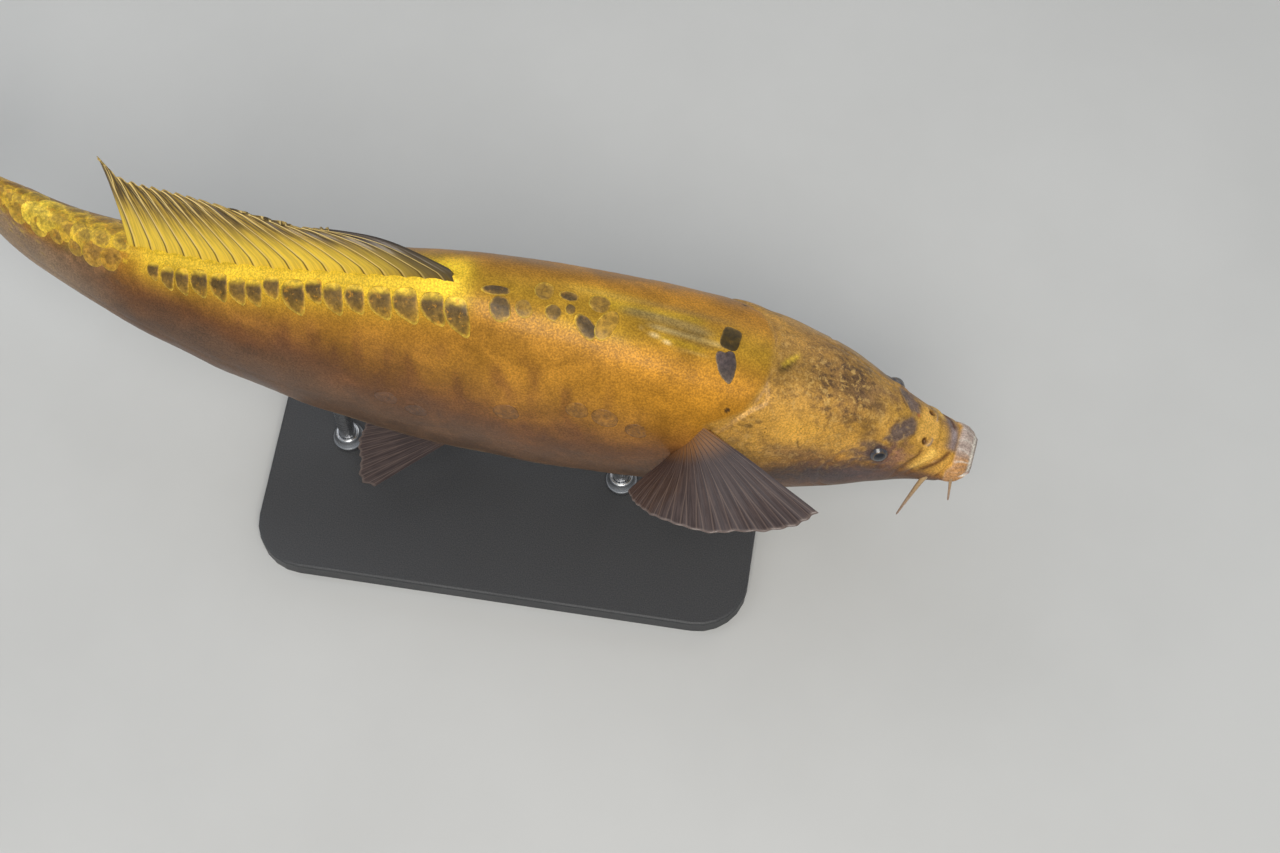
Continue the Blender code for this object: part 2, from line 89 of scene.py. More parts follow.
# ======== curves and fields
def smoothstep(low: float, high: float, x: Array) -> Array:
    """Rises smoothly from 0 at low to 1 at high: 3t^2 - 2t^3 of the clipped place t between them."""
    t = np.clip((np.asarray(x, float) - low) / (high - low), 0.0, 1.0)
    return t * t * (3.0 - 2.0 * t)


def falling(low: float, high: float, x: Array) -> Array:
    """Falls smoothly from 1 at low to 0 at high."""
    return 1.0 - smoothstep(low, high, x)


def bell(x: Array, width: float) -> Array:
    """A bell curve: e to the power of minus x over width squared."""
    return np.exp(-(np.asarray(x, float) / width) ** 2)


def mix(a: Array, b: Array, part: Array) -> Array:
    """A straight blend from a to b."""
    return a + part * (b - a)


def stacked(*parts: Array) -> Array:
    """Values side by side along a new last axis."""
    return np.stack(np.broadcast_arrays(*parts), axis=-1)


def unit(vectors: Array) -> Array:
    """The vectors along the last axis, each brought to length 1."""
    return vectors / np.linalg.norm(vectors, axis=-1, keepdims=True)


def summed(values: Array) -> Array:
    """Running sum from 0 of the means of neighbouring values."""
    return np.concatenate(([0.0], np.cumsum((values[1:] + values[:-1]) / 2.0)))


def circle(count: int) -> Array:
    """Even angles in radians round a full turn."""
    return np.arange(count) * FULL_TURN / count


def turned(x: Array, y: Array, degrees: Array) -> tuple[Array, Array]:
    """The coordinates turned about 0 from x towards y."""
    cos, sin = np.cos(np.radians(degrees)), np.sin(np.radians(degrees))
    return x * cos - y * sin, x * sin + y * cos


def through(knots: tuple, x: Array) -> Array:
    """Monotone cubic through knots, which never swings past a knot's value.

    Args:
        knots: Pairs of place and value, in rising order of place.
        x: Places to read the curve at.

    Returns:
        The curve's values, of the shape of x.
    """
    knots_x, knots_y = np.array(knots, float).T
    step = np.diff(knots_x)
    slope = np.diff(knots_y) / step
    tangent = np.zeros_like(knots_x)
    same_way = slope[:-1] * slope[1:] > 0
    weight_a, weight_b = 2 * step[1:] + step[:-1], step[1:] + 2 * step[:-1]
    inner = np.zeros_like(slope[:-1])
    inner[same_way] = (weight_a + weight_b)[same_way] / (
        weight_a[same_way] / slope[:-1][same_way] + weight_b[same_way] / slope[1:][same_way])
    tangent[1:-1] = inner
    tangent[0], tangent[-1] = slope[0], slope[-1]
    x = np.clip(np.asarray(x, float), knots_x[0], knots_x[-1])
    i = np.clip(np.searchsorted(knots_x, x) - 1, 0, len(step) - 1)
    t = (x - knots_x[i]) / step[i]
    start = (1 + 2 * t) * (1 - t) ** 2 * knots_y[i] + t * (1 - t) ** 2 * step[i] * tangent[i]
    end = t * t * (3 - 2 * t) * knots_y[i + 1] + t * t * (t - 1) * step[i] * tangent[i + 1]
    return start + end


def ripple(points: Array, size: float, seed: int) -> Array:
    """A smooth random field: the mean of plane waves of about one size in random directions.

    Args:
        points: Places, with x, y and z last.
        size: Wavelength of the field in millimetres.
        seed: Chooses the waves.

    Returns:
        Values of about -1 to 1, of the shape of points without its last axis.
    """
    waves = 18
    random = np.random.default_rng(SEED * 1000 + seed)
    way = random.normal(size=(waves, 3))
    way *= (random.uniform(0.7, 1.4, waves) / np.linalg.norm(way, axis=1))[:, None]
    phase = random.uniform(0.0, FULL_TURN, waves)
    angle = np.tensordot(points, way.T * (FULL_TURN / (size * MM)), axes=1) + phase
    return np.cos(angle).sum(axis=-1) * math.sqrt(2.0 / waves) * 0.5


# ======== the body's shape
@dataclass(frozen=True)
class BodyForm:
    """The carp's body: rounded sections along a spine that bends sideways, as the solids have it."""

    length: float = 0.56
    spine_height: float = 0.165
    origin_share: float = 0.45
    head_turn: float = 0.2126
    head_turn_share: float = 0.3
    head_turn_limit: float = 0.75
    tail_turn: float = 0.4426
    tail_turn_share: float = 0.481
    start: float = -0.019
    end: float = 1.02
    belly_power: float = 2.15
    # share, then a value as a part of the length or a power
    widest: tuple = ((0, 0.4), (0.06, 0.4), (0.2, 0.44), (1, 0.46))
    back_power: tuple = ((0, 2.15), (0.22, 2.15), (0.45, 1.9), (0.85, 1.9), (1, 2))
    # share, top, bottom and half width, as shares of the length
    stations: tuple = (
        (-0.019, -0.015, -0.041, 0.0225), (-0.015, -0.011, -0.045, 0.027), (-0.007, -0.007, -0.049, 0.0312),
        (0, -0.0045, -0.0515, 0.0318), (0.03, 0.0179, -0.0675, 0.0352), (0.07, 0.0418, -0.0807, 0.0474),
        (0.12, 0.0681, -0.0936, 0.0662), (0.2, 0.0949, -0.104, 0.0832), (0.3, 0.1249, -0.1184, 0.0888),
        (0.4, 0.1475, -0.1305, 0.0876), (0.48, 0.1594, -0.1355, 0.0822), (0.6, 0.139, -0.1169, 0.0727),
        (0.72, 0.1038, -0.0867, 0.0589), (0.82, 0.078, -0.0644, 0.0467), (0.9, 0.0634, -0.0536, 0.0351),
        (1, 0.0589, -0.0518, 0.0195), (1.02, 0.054, -0.047, 0.0085))

    def heading(self, share: Array) -> Array:
        """Angle of the spine: it grows with a power of the way to the snout and of the way to the tail.

        Args:
            share: Places along the body.

        Returns:
            Angles in radians; the way to the tail is minus the cosine along X, plus the sine along Y.
        """
        share = np.asarray(share, float)
        to_head = np.clip((self.head_turn_share - share) / self.head_turn_share, 0.0, self.head_turn_limit)
        to_tail = np.clip((share - self.tail_turn_share) / (1.0 - self.tail_turn_share), 0.0, 1.8)
        return self.head_turn * to_head ** 2 + self.tail_turn * to_tail ** 1.5

    def spine(self, share: Array) -> Array:
        """Points of the spine: the running sum of steps along the heading.

        Args:
            share: Places along the body.

        Returns:
            The points, with x, y and z last.
        """
        table = np.linspace(-0.06, 1.45, 1511)
        angle, step = self.heading(table), self.length * (table[1] - table[0])
        x, y = (np.interp(share, table, run) - np.interp(self.origin_share, table, run)
                for run in (summed(-np.cos(angle)) * step, summed(np.sin(angle)) * step))
        return stacked(x, y, self.spine_height)

    def sideways(self, share: Array) -> Array:
        """Unit vectors to the fish's left."""
        angle = self.heading(share)
        return stacked(np.sin(angle), np.cos(angle), 0.0)

    def forwards(self, share: Array) -> Array:
        """Unit vectors to the head."""
        angle = self.heading(share)
        return stacked(np.cos(angle), -np.sin(angle), 0.0)

    def surface(self, share: Array, turn: Array, grow: float = 0.0) -> Array:
        """Points of the body's surface: a rounded section with its own power above and below.

        Args:
            share: Places along the body.
            turn: Turns round it in degrees.
            grow: How far the points are pushed out, in metres.

        Returns:
            The points, with x, y and z last.
        """
        share, turn = np.broadcast_arrays(np.asarray(share, float), np.radians(np.asarray(turn, float)))
        table = np.array(self.stations)
        top, bottom, width = (through(table[:, (0, c)], share) for c in (1, 2, 3))
        middle = bottom + np.interp(share, *np.array(self.widest).T) * (top - bottom)
        across, up = np.cos(turn), np.sin(turn)
        power = np.where(up > 0, np.interp(share, *np.array(self.back_power).T), self.belly_power)
        across, up = (np.sign(a) * np.abs(a) ** (2 / power) for a in (across, up))
        reach = np.where(up > 0, top - middle, middle - bottom) * self.length + grow
        side = (width * self.length + grow) * across
        rise = middle * self.length + reach * up
        return self.spine(share) + side[..., None] * self.sideways(share) + rise[..., None] * UP

    def steps(self, share: Array, turn: Array) -> tuple[Array, Array]:
        """Vectors over the surface, for two thousandths of the length and for one degree round it."""
        return (self.surface(share + 1e-3, turn) - self.surface(share - 1e-3, turn),
                self.surface(share, turn + 0.5) - self.surface(share, turn - 0.5))

    def normal(self, share: Array, turn: Array) -> Array:
        """Outward unit normals of the surface."""
        return unit(np.cross(*self.steps(np.asarray(share, float), np.asarray(turn, float))))

    def metres(self, share: Array, turn: Array) -> tuple[Array, Array]:
        """Metres over the surface for a whole share and for a degree."""
        along, around = (np.linalg.norm(step, axis=-1) for step in self.steps(share, turn))
        return along / 2e-3, around


BODY = BodyForm()


def to_turn(back: Array, side: Side) -> Array:
    """Turn in degrees of a back angle on a side."""
    return 90.0 - side.value * np.asarray(back, float)


@dataclass
class Sites:
    """Places on the body's surface, with what the painting and the relief need to know of each."""

    share: Array
    turn: Array
    points: Array = field(init=False)
    normals: Array = field(init=False)
    back: Array = field(init=False)
    side: Array = field(init=False)

    def __post_init__(self) -> None:
        """Works out the points, the normals, the back angles and the signs of the sides."""
        self.share, self.turn = np.broadcast_arrays(np.asarray(self.share, float),
                                                    np.asarray(self.turn, float))
        self.points = BODY.surface(self.share, self.turn)
        self.normals = BODY.normal(self.share, self.turn)
        self.side = np.where((self.turn > 90.0) & (self.turn <= 270.0), -1.0, 1.0)
        self.back = np.abs(np.where(self.turn > 270.0, self.turn - 360.0, self.turn) - 90.0)


# ======== marks on the body
@dataclass(frozen=True)
class Spot:
    """An oval place on the body: full inside, fading at its edge.

    Along and around are its half sizes in millimetres, tilt turns it in degrees (towards the head going
    down), edge is the part of its radius over which it fades, and ragged is how far that edge wanders.
    """

    share: float
    back: float
    along: float
    around: float
    tilt: float = 0.0
    edge: float = 1.0
    side: Side = Side.BOTH
    ragged: float = 0.0

    def weight(self, sites: Sites) -> Array:
        """How far sites lie in the spot, by their oval distance; only places that face its way count.

        Args:
            sites: Places on the body.

        Returns:
            Weights from 0 to 1.
        """
        total = np.zeros(sites.share.shape)
        for side in self.side.each():
            place = self.share / 1000.0, to_turn(self.back, side)
            normal, along = BODY.normal(*place), unit(BODY.steps(*place)[0])
            around = unit(np.cross(normal, along)) * -side.value
            offset = sites.points - BODY.surface(*place)
            x, y = turned(offset @ along, offset @ around, -self.tilt)
            distance = np.hypot(x / (self.along * MM), y / (self.around * MM))
            if self.ragged:
                distance = distance + self.ragged * ripple(sites.points, 5.0, 3)
            near = np.abs(offset @ normal) < 1.6 * max(self.along, self.around, 6.0) * MM
            facing = smoothstep(-0.3, 0.2, sites.normals @ normal)
            total = np.maximum(total, falling(1.0 - self.edge, 1.0, distance) * near * facing)
        return total


@dataclass(frozen=True)
class Line:
    """A smooth line over the body.

    Path holds the share and the back angle of each point in turn, width is the half width in
    millimetres, and fade is the part of its length that fades at each end.
    """

    path: tuple
    width: float
    fade: float = 0.15
    side: Side = Side.BOTH

    def places(self) -> tuple[Array, Array]:
        """Shares and back angles of the path's points."""
        share, back = np.reshape(self.path, (-1, 2)).astype(float).T
        return share / 1000.0, back

    def measure(self, sites: Sites, side: Side) -> tuple[Array, Array, Array]:
        """Measures how sites lie to the line, by the nearest of its short straight stretches.

        Args:
            sites: Places on the body.
            side: The side that the line is laid on.

        Returns:
            Distance in metres, the same with a sign that is plus towards the tail or the belly, and the
            fading towards the line's ends.
        """
        knots = self.places()
        place = np.linspace(0.0, 1.0, len(knots[0]))
        fine = np.linspace(0.0, 1.0, 8 * (len(place) - 1) + 1)
        share, back = (through(np.stack((place, values), axis=1), fine) for values in knots)
        line = BODY.surface(share, to_turn(back, side))
        low, high = line.min(axis=0) - 0.02, line.max(axis=0) + 0.02
        near = np.all((sites.points > low) & (sites.points < high), axis=-1)
        distance, signed, fading = (np.full(sites.share.shape, value) for value in (1.0, 1.0, 0.0))
        if not near.any():
            return distance, signed, fading
        step = np.diff(line, axis=0)
        offset = sites.points[near][:, None] - line[None, :-1]
        t = np.clip((offset * step).sum(-1) / (step ** 2).sum(-1), 0.0, 1.0)
        away = offset - t[..., None] * step
        gap = np.linalg.norm(away, axis=-1)
        nearest = gap.argmin(axis=1)
        row = np.arange(len(gap))
        distance[near] = gap[row, nearest]
        across = np.cross(sites.normals[near], step[nearest]) * side.value
        signed[near] = np.sign((away[row, nearest] * across).sum(-1)) * gap[row, nearest]
        where, fade = (nearest + t[row, nearest]) / len(step), max(self.fade, 1e-3)
        fading[near] = smoothstep(0.0, fade, where) * smoothstep(0.0, fade, 1.0 - where)
        return distance, signed, fading

    def laid(self, sites: Sites, profile: Callable) -> Array:
        """Lays a profile along the line.

        Args:
            sites: Places on the body.
            profile: Gives a weight for a distance and a signed distance.

        Returns:
            The largest weight of the line's sides, faded at its ends.
        """
        weights = [profile(distance, signed) * fading
                   for distance, signed, fading in (self.measure(sites, side) for side in self.side.each())]
        return reduce(np.maximum, weights)

    def weight(self, sites: Sites) -> Array:
        """How near sites are to the line: a bell of its width, from 0 to 1."""
        return self.laid(sites, lambda distance, _: bell(distance, self.width * MM))

    def step(self, sites: Sites) -> Array:
        """A ramp that is 1 just before the line and 0 past it, fading 14 mm before it."""
        edge = self.width * MM
        return self.laid(sites, lambda _, signed: smoothstep(-14.0 * MM, -1.5 * edge, signed)
                         * falling(-edge, edge, signed))


# the gill cover's free edge from the nape's corner round to the throat, the nape's edge, the sense line
GILL_EDGE = (190, 10, 185.5, 28, 201, 38, 219, 50, 237, 63, 229, 80, 212, 100, 190, 122, 160, 142, 120, 160)
NAPE = (185, 0, 186, 12, 193, 24, 203, 38, 220, 46, 240, 52)
SENSE_LINE = (245, 84, 350, 89, 500, 92, 750, 92, 990, 91)


# ======== relief of the skin
# shape and height in millimetres
FEATURES = (
    # snout and lips
    (Line((-4, 0, -3.5, 30, 1.5, 56, 9, 84), 1.2, 0.02), -1.5),
    (Line((15, 0, 15, 20, 12, 38), 0.9, 0.35), -0.55),
    (Line((21.5, 0, 21.5, 16, 18, 32), 0.9, 0.35), -0.4),
    (Spot(10, 0, 4, 13, edge=0.9), 0.55),
    (Line((10, 34, 15, 48, 23, 62, 33, 78, 42, 92), 1.2, 0.25), -1.1),
    (Line((18, 36, 23, 50, 31, 64, 40, 80), 1.5, 0.25), 0.65),
    (Line((26, 40, 31.5, 54, 39, 66, 48, 84, 52, 100), 1.1, 0.25), -0.95),
    (Line((3, 96, 6, 120, 6, 150, 6, 180), 1.5, 0.05), -1.3),
    (Line((22, 110, 26, 140, 27, 180), 2.2), -0.7),
    # nostrils, each a pit with a raised flap in front of it
    (Spot(28.5, 26, 1.9, 2.6, 20, 0.55), -1.7),
    (Line((22.5, 15, 23.2, 23, 27.5, 33), 0.8, 0.3), 1.05),
    (Line((33, 20, 34.5, 28, 32.5, 34), 0.7, 0.3), 0.4),
    (Spot(51, 23.5, 12, 5.6, 48, 0.7), -0.7),
    (Line((48, 2, 60, 18, 67, 40), 0.9, 0.3), 0.35),
    # round the eye
    (Spot(65, 45, 9, 3.2, -25, 0.9), 0.75),
    (Line((56, 66, 64, 72, 76, 70, 86, 62), 1.4, 0.3), -0.45),
    (Line((50, 72, 64, 80, 80, 78, 96, 66), 1.1, 0.3), -0.3),
    (Spot(76, 76, 15, 7, -12), 0.55),
    # skull and nape
    (Line(NAPE, 1.5, 0.1), -0.45),
    (Line((70, 0, 120, 0, 180, 0), 3, 0.3), -0.25),
    (Line((56, 26, 82, 30, 120, 33, 166, 34), 1.5, 0.25), -0.35),
    (Spot(145, 16, 24, 9), 0.55),
    (Spot(100, 14, 17, 8), 0.4),
    # cheek and gill cover
    (Line((96, 52, 108, 64, 122, 80, 120, 98, 100, 114), 1.5, 0.2), -0.85),
    (Line((138, 44, 135, 60, 134, 78, 130, 98, 118, 118), 1.3, 0.2), -0.6),
    (Spot(108, 78, 9, 20, 12), 0.55),
    (Spot(178, 70, 22, 30), 0.9),
    (Line((145, 104, 170, 100, 210, 92), 1.2, 0.2), -0.45),
    # throat
    (Line((50, 132, 90, 138, 145, 146), 1.5, 0.25), -0.8),
    (Line((60, 146, 100, 152, 150, 158), 1.4, 0.25), -0.7),
    (Line((30, 172, 90, 174, 150, 176), 1.6, 0.25), -0.7),
    (Line((240, 74, 248, 92, 236, 112, 205, 134), 2.6, 0.2), -0.8),
    # flanks: sense line, edge of the scaled back, vent and small dents
    (Line(SENSE_LINE, 1.1, 0.03), -0.3),
    (Spot(745, 180, 7, 3, edge=0.8), -1.6),
    (Spot(745, 172, 9, 3), 0.8),
    (Line((312, 4, 300, 9, 283, 14), 0.7, 0.3, RIGHT), -0.35),
    (Line((180, 7, 170, 3, 160, -2), 1.6, 0.4, RIGHT), -0.55),
)


@dataclass(frozen=True)
class Relief:
    """Height of the skin over the plain body, in metres along its normal."""

    inset: float = 0.0005
    eye: Spot = Spot(68, 59, 6.1, 6.1, edge=0.3)
    eye_depth: float = 0.0046
    gill_lift: float = 0.0007
    gill_drop: float = 0.0014

    def lip_folds(self, sites: Sites) -> Array:
        """Creases across the lips, waves of the turn, and rolls round them, waves of the share.

        Args:
            sites: Places on the body.

        Returns:
            Heights in metres, none behind the lips' groove.
        """
        wave = np.sin(np.radians(sites.turn) * 26.0 + 3.0 * ripple(sites.points, 8.0, 5))
        rolls = np.sin((sites.share - BODY.start) * BODY.length / (1.9 * MM) * math.pi)
        return falling(-0.008, -0.004, sites.share) * (0.13 * wave + 0.1 * rolls) * MM

    def fin_roots(self, sites: Sites) -> Array:
        """Fleshy swellings that carry the fins: ridges along the median ones, mounds at the paired ones.

        Args:
            sites: Places on the body.

        Returns:
            Heights in metres.
        """
        share, back = sites.share, sites.back
        top = smoothstep(0.472, 0.492, share) * falling(0.812, 0.84, share)
        low = smoothstep(0.755, 0.772, share) * falling(0.822, 0.84, share)
        radius = np.linalg.norm(sites.points - BODY.spine(share), axis=-1)
        across_top, across_low = np.radians(back) * radius, np.radians(180.0 - back) * radius
        ridge = 1.9 * MM * top * bell(across_top, 4.2 * MM) + 1.6 * MM * low * bell(across_low, 3.6 * MM)
        ray = np.sin((share - 0.482) / 0.34 * 18.0 * FULL_TURN)
        knobs = 0.22 * MM * top * bell(across_top - 3.5 * MM, 2.5 * MM) * ray
        mounds = 1.7 * Spot(248, 72, 13, 15, 20).weight(sites) + 1.5 * Spot(498, 160, 11, 8).weight(sites)
        return ridge + knobs + mounds * MM

    def muscle(self, sites: Sites) -> Array:
        """Very low folds of the flank's muscle: forward-pointing chevrons, and a slow unevenness.

        Args:
            sites: Places on the body.

        Returns:
            Heights in metres.
        """
        flank = smoothstep(0.26, 0.34, sites.share) * falling(0.93, 1.0, sites.share)
        chevron = sites.share * BODY.length + 0.03 * np.abs(np.cos(np.radians(sites.back))) ** 1.4
        folds = 0.055 * np.sin(chevron / (7.5 * MM) * FULL_TURN) * flank * smoothstep(25.0, 60.0, sites.back)
        slow = 0.28 * ripple(sites.points, 60.0, 7) + 0.1 * ripple(sites.points, 22.0, 8)
        return (folds + slow * smoothstep(0.02, 0.06, sites.share)) * MM

    def height(self, sites: Sites, with_eye: bool = True) -> Array:
        """The whole relief: the sum of its features, with the gill cover's step.

        Args:
            sites: Places on the body.
            with_eye: Whether the skin sinks behind the eyeball.

        Returns:
            Height over the body in metres.
        """
        total = sum((height * MM * shape.weight(sites) for shape, height in FEATURES), -self.inset)
        depth = mix(0.35, 1.0, smoothstep(42.0, 66.0, sites.back))
        cover = (self.gill_lift + self.gill_drop) * Line(GILL_EDGE, 0.8, 0.1).step(sites)
        total = total + depth * (cover - self.gill_drop * Line(GILL_EDGE, 4.5, 0.12).weight(sites))
        total = total + self.lip_folds(sites) + self.fin_roots(sites) + self.muscle(sites)
        return total - self.eye_depth * self.eye.weight(sites) * with_eye


RELIEF = Relief()


# ======== colours of the body
@dataclass(frozen=True)
class Palette:
    """The carp's colours, as linear red, green and blue; some of them stand for painted shade and a painted
    sheen.
    """

    ochre: Colour = (0.5, 0.228, 0.028)
    back_gold: Colour = (0.5, 0.3, 0.026)
    shoulder: Colour = (0.65, 0.285, 0.022)
    # low_bronze is the low flank's bronze, laid darker and wider than the fish's own as painted shade
    low_bronze: Colour = (0.205, 0.078, 0.027)
    # low_grey is painted shade: the bluish grey of shadow low on the flanks and head
    low_grey: Colour = (0.15, 0.086, 0.05)
    belly: Colour = (0.52, 0.37, 0.19)
    stalk_tan: Colour = (0.43, 0.285, 0.165)
    head_gold: Colour = (0.66, 0.36, 0.072)
    head_brown: Colour = (0.205, 0.112, 0.056)
    # far_sheen is a painted sheen: the paler, greyer tan of the far side's skin seen at a grazing angle
    far_sheen: Colour = (0.38, 0.2, 0.08)
    lemon: Colour = (1.0, 0.66, 0.045)
    bright: Colour = (0.98, 0.68, 0.06)
    dusk: Colour = (0.17, 0.1, 0.066)
    olive: Colour = (0.3, 0.2, 0.035)
    slate: Colour = (0.17, 0.122, 0.112)
    navy: Colour = (0.062, 0.05, 0.062)
    lip: Colour = (0.52, 0.41, 0.35)
    lip_gold: Colour = (0.5, 0.23, 0.055)
    lip_pale: Colour = (0.85, 0.78, 0.68)
    lip_dark: Colour = (0.23, 0.17, 0.15)
    lip_rim: Colour = (0.8, 0.74, 0.64)
    flesh: Colour = (0.35, 0.13, 0.085)
    # groove is painted shade: the dark of creases and pits
    groove: Colour = (0.11, 0.04, 0.015)
    ink: Colour = (0.02, 0.015, 0.014)
    pink: Colour = (0.6, 0.34, 0.13)


HUE = Palette()
TAIL_BLOT = Spot(926, 5, 11, 8, edge=0.5, ragged=0.3)

# marks in the order in which they are laid on: shape, colour and strength
MARKS = (
    # head
    (Spot(120, 2, 28, 18, ragged=0.25), HUE.head_brown, 0.52),
    (Spot(108, 24, 16, 10, 10, 1, RIGHT, 0.3), HUE.head_brown, 0.45),
    # painted sheen on the far side of the head
    (Spot(140, 34, 30, 22, side=LEFT), HUE.far_sheen, 0.45),
    (Spot(150, 45, 26, 14), (0.78, 0.41, 0.066), 0.7),
    (Spot(80, 38, 9, 7, ragged=0.2), HUE.head_brown, 0.45),
    (Spot(75, 14, 12, 12, edge=0.8), HUE.head_gold, 0.7),
    (Spot(50, 45, 9, 9, edge=0.9, ragged=0.3), HUE.head_brown, 0.65),
    (Spot(66, -12, 9, 11, 0, 1, RIGHT, 0.3), HUE.head_brown, 0.7),
    (Spot(51, 23.5, 12, 6.4, 48, 0.35, ragged=0.15), HUE.slate, 0.9),
    (Spot(50, 21, 7.5, 2.8, 48), (0.3, 0.225, 0.205), 0.6),
    (Line((49, 2, 59, 16, 68, 38), 0.7, 0.3), (0.09, 0.055, 0.045), 0.7),
    (Line((37, 8, 42, 26, 52, 44), 0.6, 0.3), (0.09, 0.055, 0.045), 0.6),
    (Spot(74, 49, 12, 4.6, -12, 0.9), HUE.slate, 0.8),
    (Spot(70, 58, 11.5, 10, edge=0.6, ragged=0.2), HUE.navy, 0.85),
    (Spot(28, 4, 9, 11, edge=0.45, ragged=0.25), (0.9, 0.5, 0.105), 0.95),
    # painted reflection: a purple-grey band over the snout's tip, with a paler streak along it
    (Line((16, -58, 11, -38, 4, -18, 1, 4, 1, 24), 4.4, 0.15, RIGHT), (0.225, 0.175, 0.185), 0.9),
    (Line((12, -46, 3, -18, 0, 8), 1.6, 0.3, RIGHT), (0.42, 0.35, 0.35), 0.55),
    # painted shade: dark brown under the eye
    (Spot(84, 86, 26, 13, -10), (0.23, 0.11, 0.085), 0.8),
    (Spot(55, 62, 15, 15, edge=0.9, ragged=0.2), (0.4, 0.185, 0.125), 0.75),
    (Line((122, 5, 98, 4, 80, 9, 68, 20), 5.5, 0.3), HUE.dusk, 0.62),
    (Line((110, 60, 150, 62, 190, 60), 4.5, 0.3), HUE.dusk, 0.45),
    # painted shade: a near-black patch low on the cheek and gill cover
    (Spot(115, 84, 62, 21, edge=0.9, ragged=0.15), (0.08, 0.058, 0.058), 0.94),
    (Spot(82, 58, 16, 9, edge=0.9, ragged=0.3), (0.13, 0.08, 0.07), 0.75),
    (Line((16, 24, 20, 44, 27, 62, 38, 80), 3, 0.2), (1.0, 0.6, 0.13), 0.95),
    # painted shade in the grooves of the snout and lips, in the nostril pits and behind their flaps
    (Line((1, 14, 5, 30, 12, 50, 21, 66, 32, 82), 1.5, 0.2), HUE.groove, 0.9),
    (Line((29, 30, 31, 48, 38, 64, 48, 84), 1.1, 0.25), HUE.groove, 0.7),
    (Spot(28.5, 26, 2, 3, 20, 0.5), HUE.groove, 0.9),
    (Line((21.5, 12, 22.5, 23, 27.5, 34), 0.8, 0.3), (0.43, 0.35, 0.3), 0.8),
    (Line((24.5, 13, 25.5, 23, 30, 33), 0.5, 0.3), HUE.groove, 0.7),
    (Spot(40, 5, 1.6, 1.6, 0, 0.6, LEFT), (0.45, 0.13, 0.05), 0.8),
    (Line(NAPE, 1.5), (0.76, 0.42, 0.08), 0.45),
    (Line((184, 4, 190, 22, 199, 34), 0.8, 0.2), HUE.head_brown, 0.45),
    (Line((184, 10, 173, 3.5, 160, -8), 2.4, 0.4, RIGHT), (0.1, 0.062, 0.02), 0.9),
    (Line((180, 4.5, 170, -1.5, 160, -9), 1.2, 0.3, RIGHT), (0.76, 0.5, 0.05), 0.9),
    (Spot(200, 47, 5, 1.9, edge=0.5, ragged=0.3), HUE.ink, 0.65),
    (Spot(190, 43, 3, 1.2, edge=0.5, ragged=0.3), HUE.ink, 0.55),
    (Spot(222, 40, 2, 1.5, 30, 0.5, ragged=0.2), HUE.ink, 0.85),
    (Line((150, 50, 149, 55, 147, 60), 0.7, 0.3, RIGHT), HUE.ink, 0.6),
    (Line(GILL_EDGE, 0.9, 0.1), HUE.pink, 0.3),
    # painted shade in the groove behind the gill cover
    (Line((243, 66, 236, 82, 218, 102, 196, 124), 2, 0.1), HUE.groove, 0.55),
    # back and flanks
    (Line((245, 10, 300, 7, 370, 4), 3.2, 0.2, LEFT), (0.56, 0.35, 0.022), 0.8),
    (Line((215, 14, 300, 13, 400, 11), 2, 0.2, LEFT), (0.33, 0.2, 0.06), 0.5),
    (Line((236, 2, 270, 3.5, 310, 4, 340, 3), 2.2, 0.25, LEFT), (0.33, 0.255, 0.12), 0.75),
    (Line((240, 3, 280, 1.5, 320, 1), 1.6, 0.25, RIGHT), (0.25, 0.18, 0.07), 0.65),
    (Line((244, 9, 275, 8, 310, 6), 2.2, 0.3, RIGHT), (0.52, 0.33, 0.025), 0.7),
    (Line((316, 5, 298, 7.5, 278, 11), 0.6, 0.2, RIGHT), (0.9, 0.66, 0.3), 0.9),
    (Line((318, 1, 290, 2.5, 255, 2, 222, 3.5), 0.5, 0.2, RIGHT), (0.58, 0.46, 0.22), 0.5),
    (Line((312, -1.5, 275, -0.5, 236, 1), 0.7, 0.2, RIGHT), (0.12, 0.085, 0.04), 0.7),
    (Line((304, 4, 270, 4.5, 236, 5), 0.6, 0.2, RIGHT), (0.16, 0.105, 0.04), 0.6),
    (Line((282, 12.5, 262, 11.5, 240, 10.5), 0.8, 0.3, RIGHT), (0.8, 0.5, 0.14), 0.4),
    (Spot(350, 12, 40, 8), HUE.lemon, 0.25),
    (Line((460, 7, 560, 9, 680, 11, 830, 8), 12, 0.1), HUE.lemon, 1),
    (Line((480, 24, 600, 24, 800, 28), 6.5, 0.1), (0.52, 0.28, 0.02), 0.35),
    (Spot(900, 8, 60, 11, edge=0.8, ragged=0.5), HUE.lemon, 0.75),
    (TAIL_BLOT, HUE.bright, 1),
    (Spot(910, 30, 60, 10, ragged=0.4), HUE.olive, 0.45),
    (Spot(860, 50, 30, 12, ragged=0.6), HUE.low_grey, 0.55),
    (Line(SENSE_LINE, 0.9, 0.03), HUE.low_grey, 0.35),
    (Spot(745, 178, 7, 4), HUE.flesh, 0.6),
)


def behind_nape(sites: Sites) -> Array:
    """Distance behind the edge between head and body.

    Args:
        sites: Places on the body.

    Returns:
        Metres, negative in the head.
    """
    share, back = np.concatenate((Line(NAPE, 0).places(), Line(GILL_EDGE[8:], 0).places()), axis=1)
    return (sites.share - np.interp(sites.back, back, share)) * BODY.length


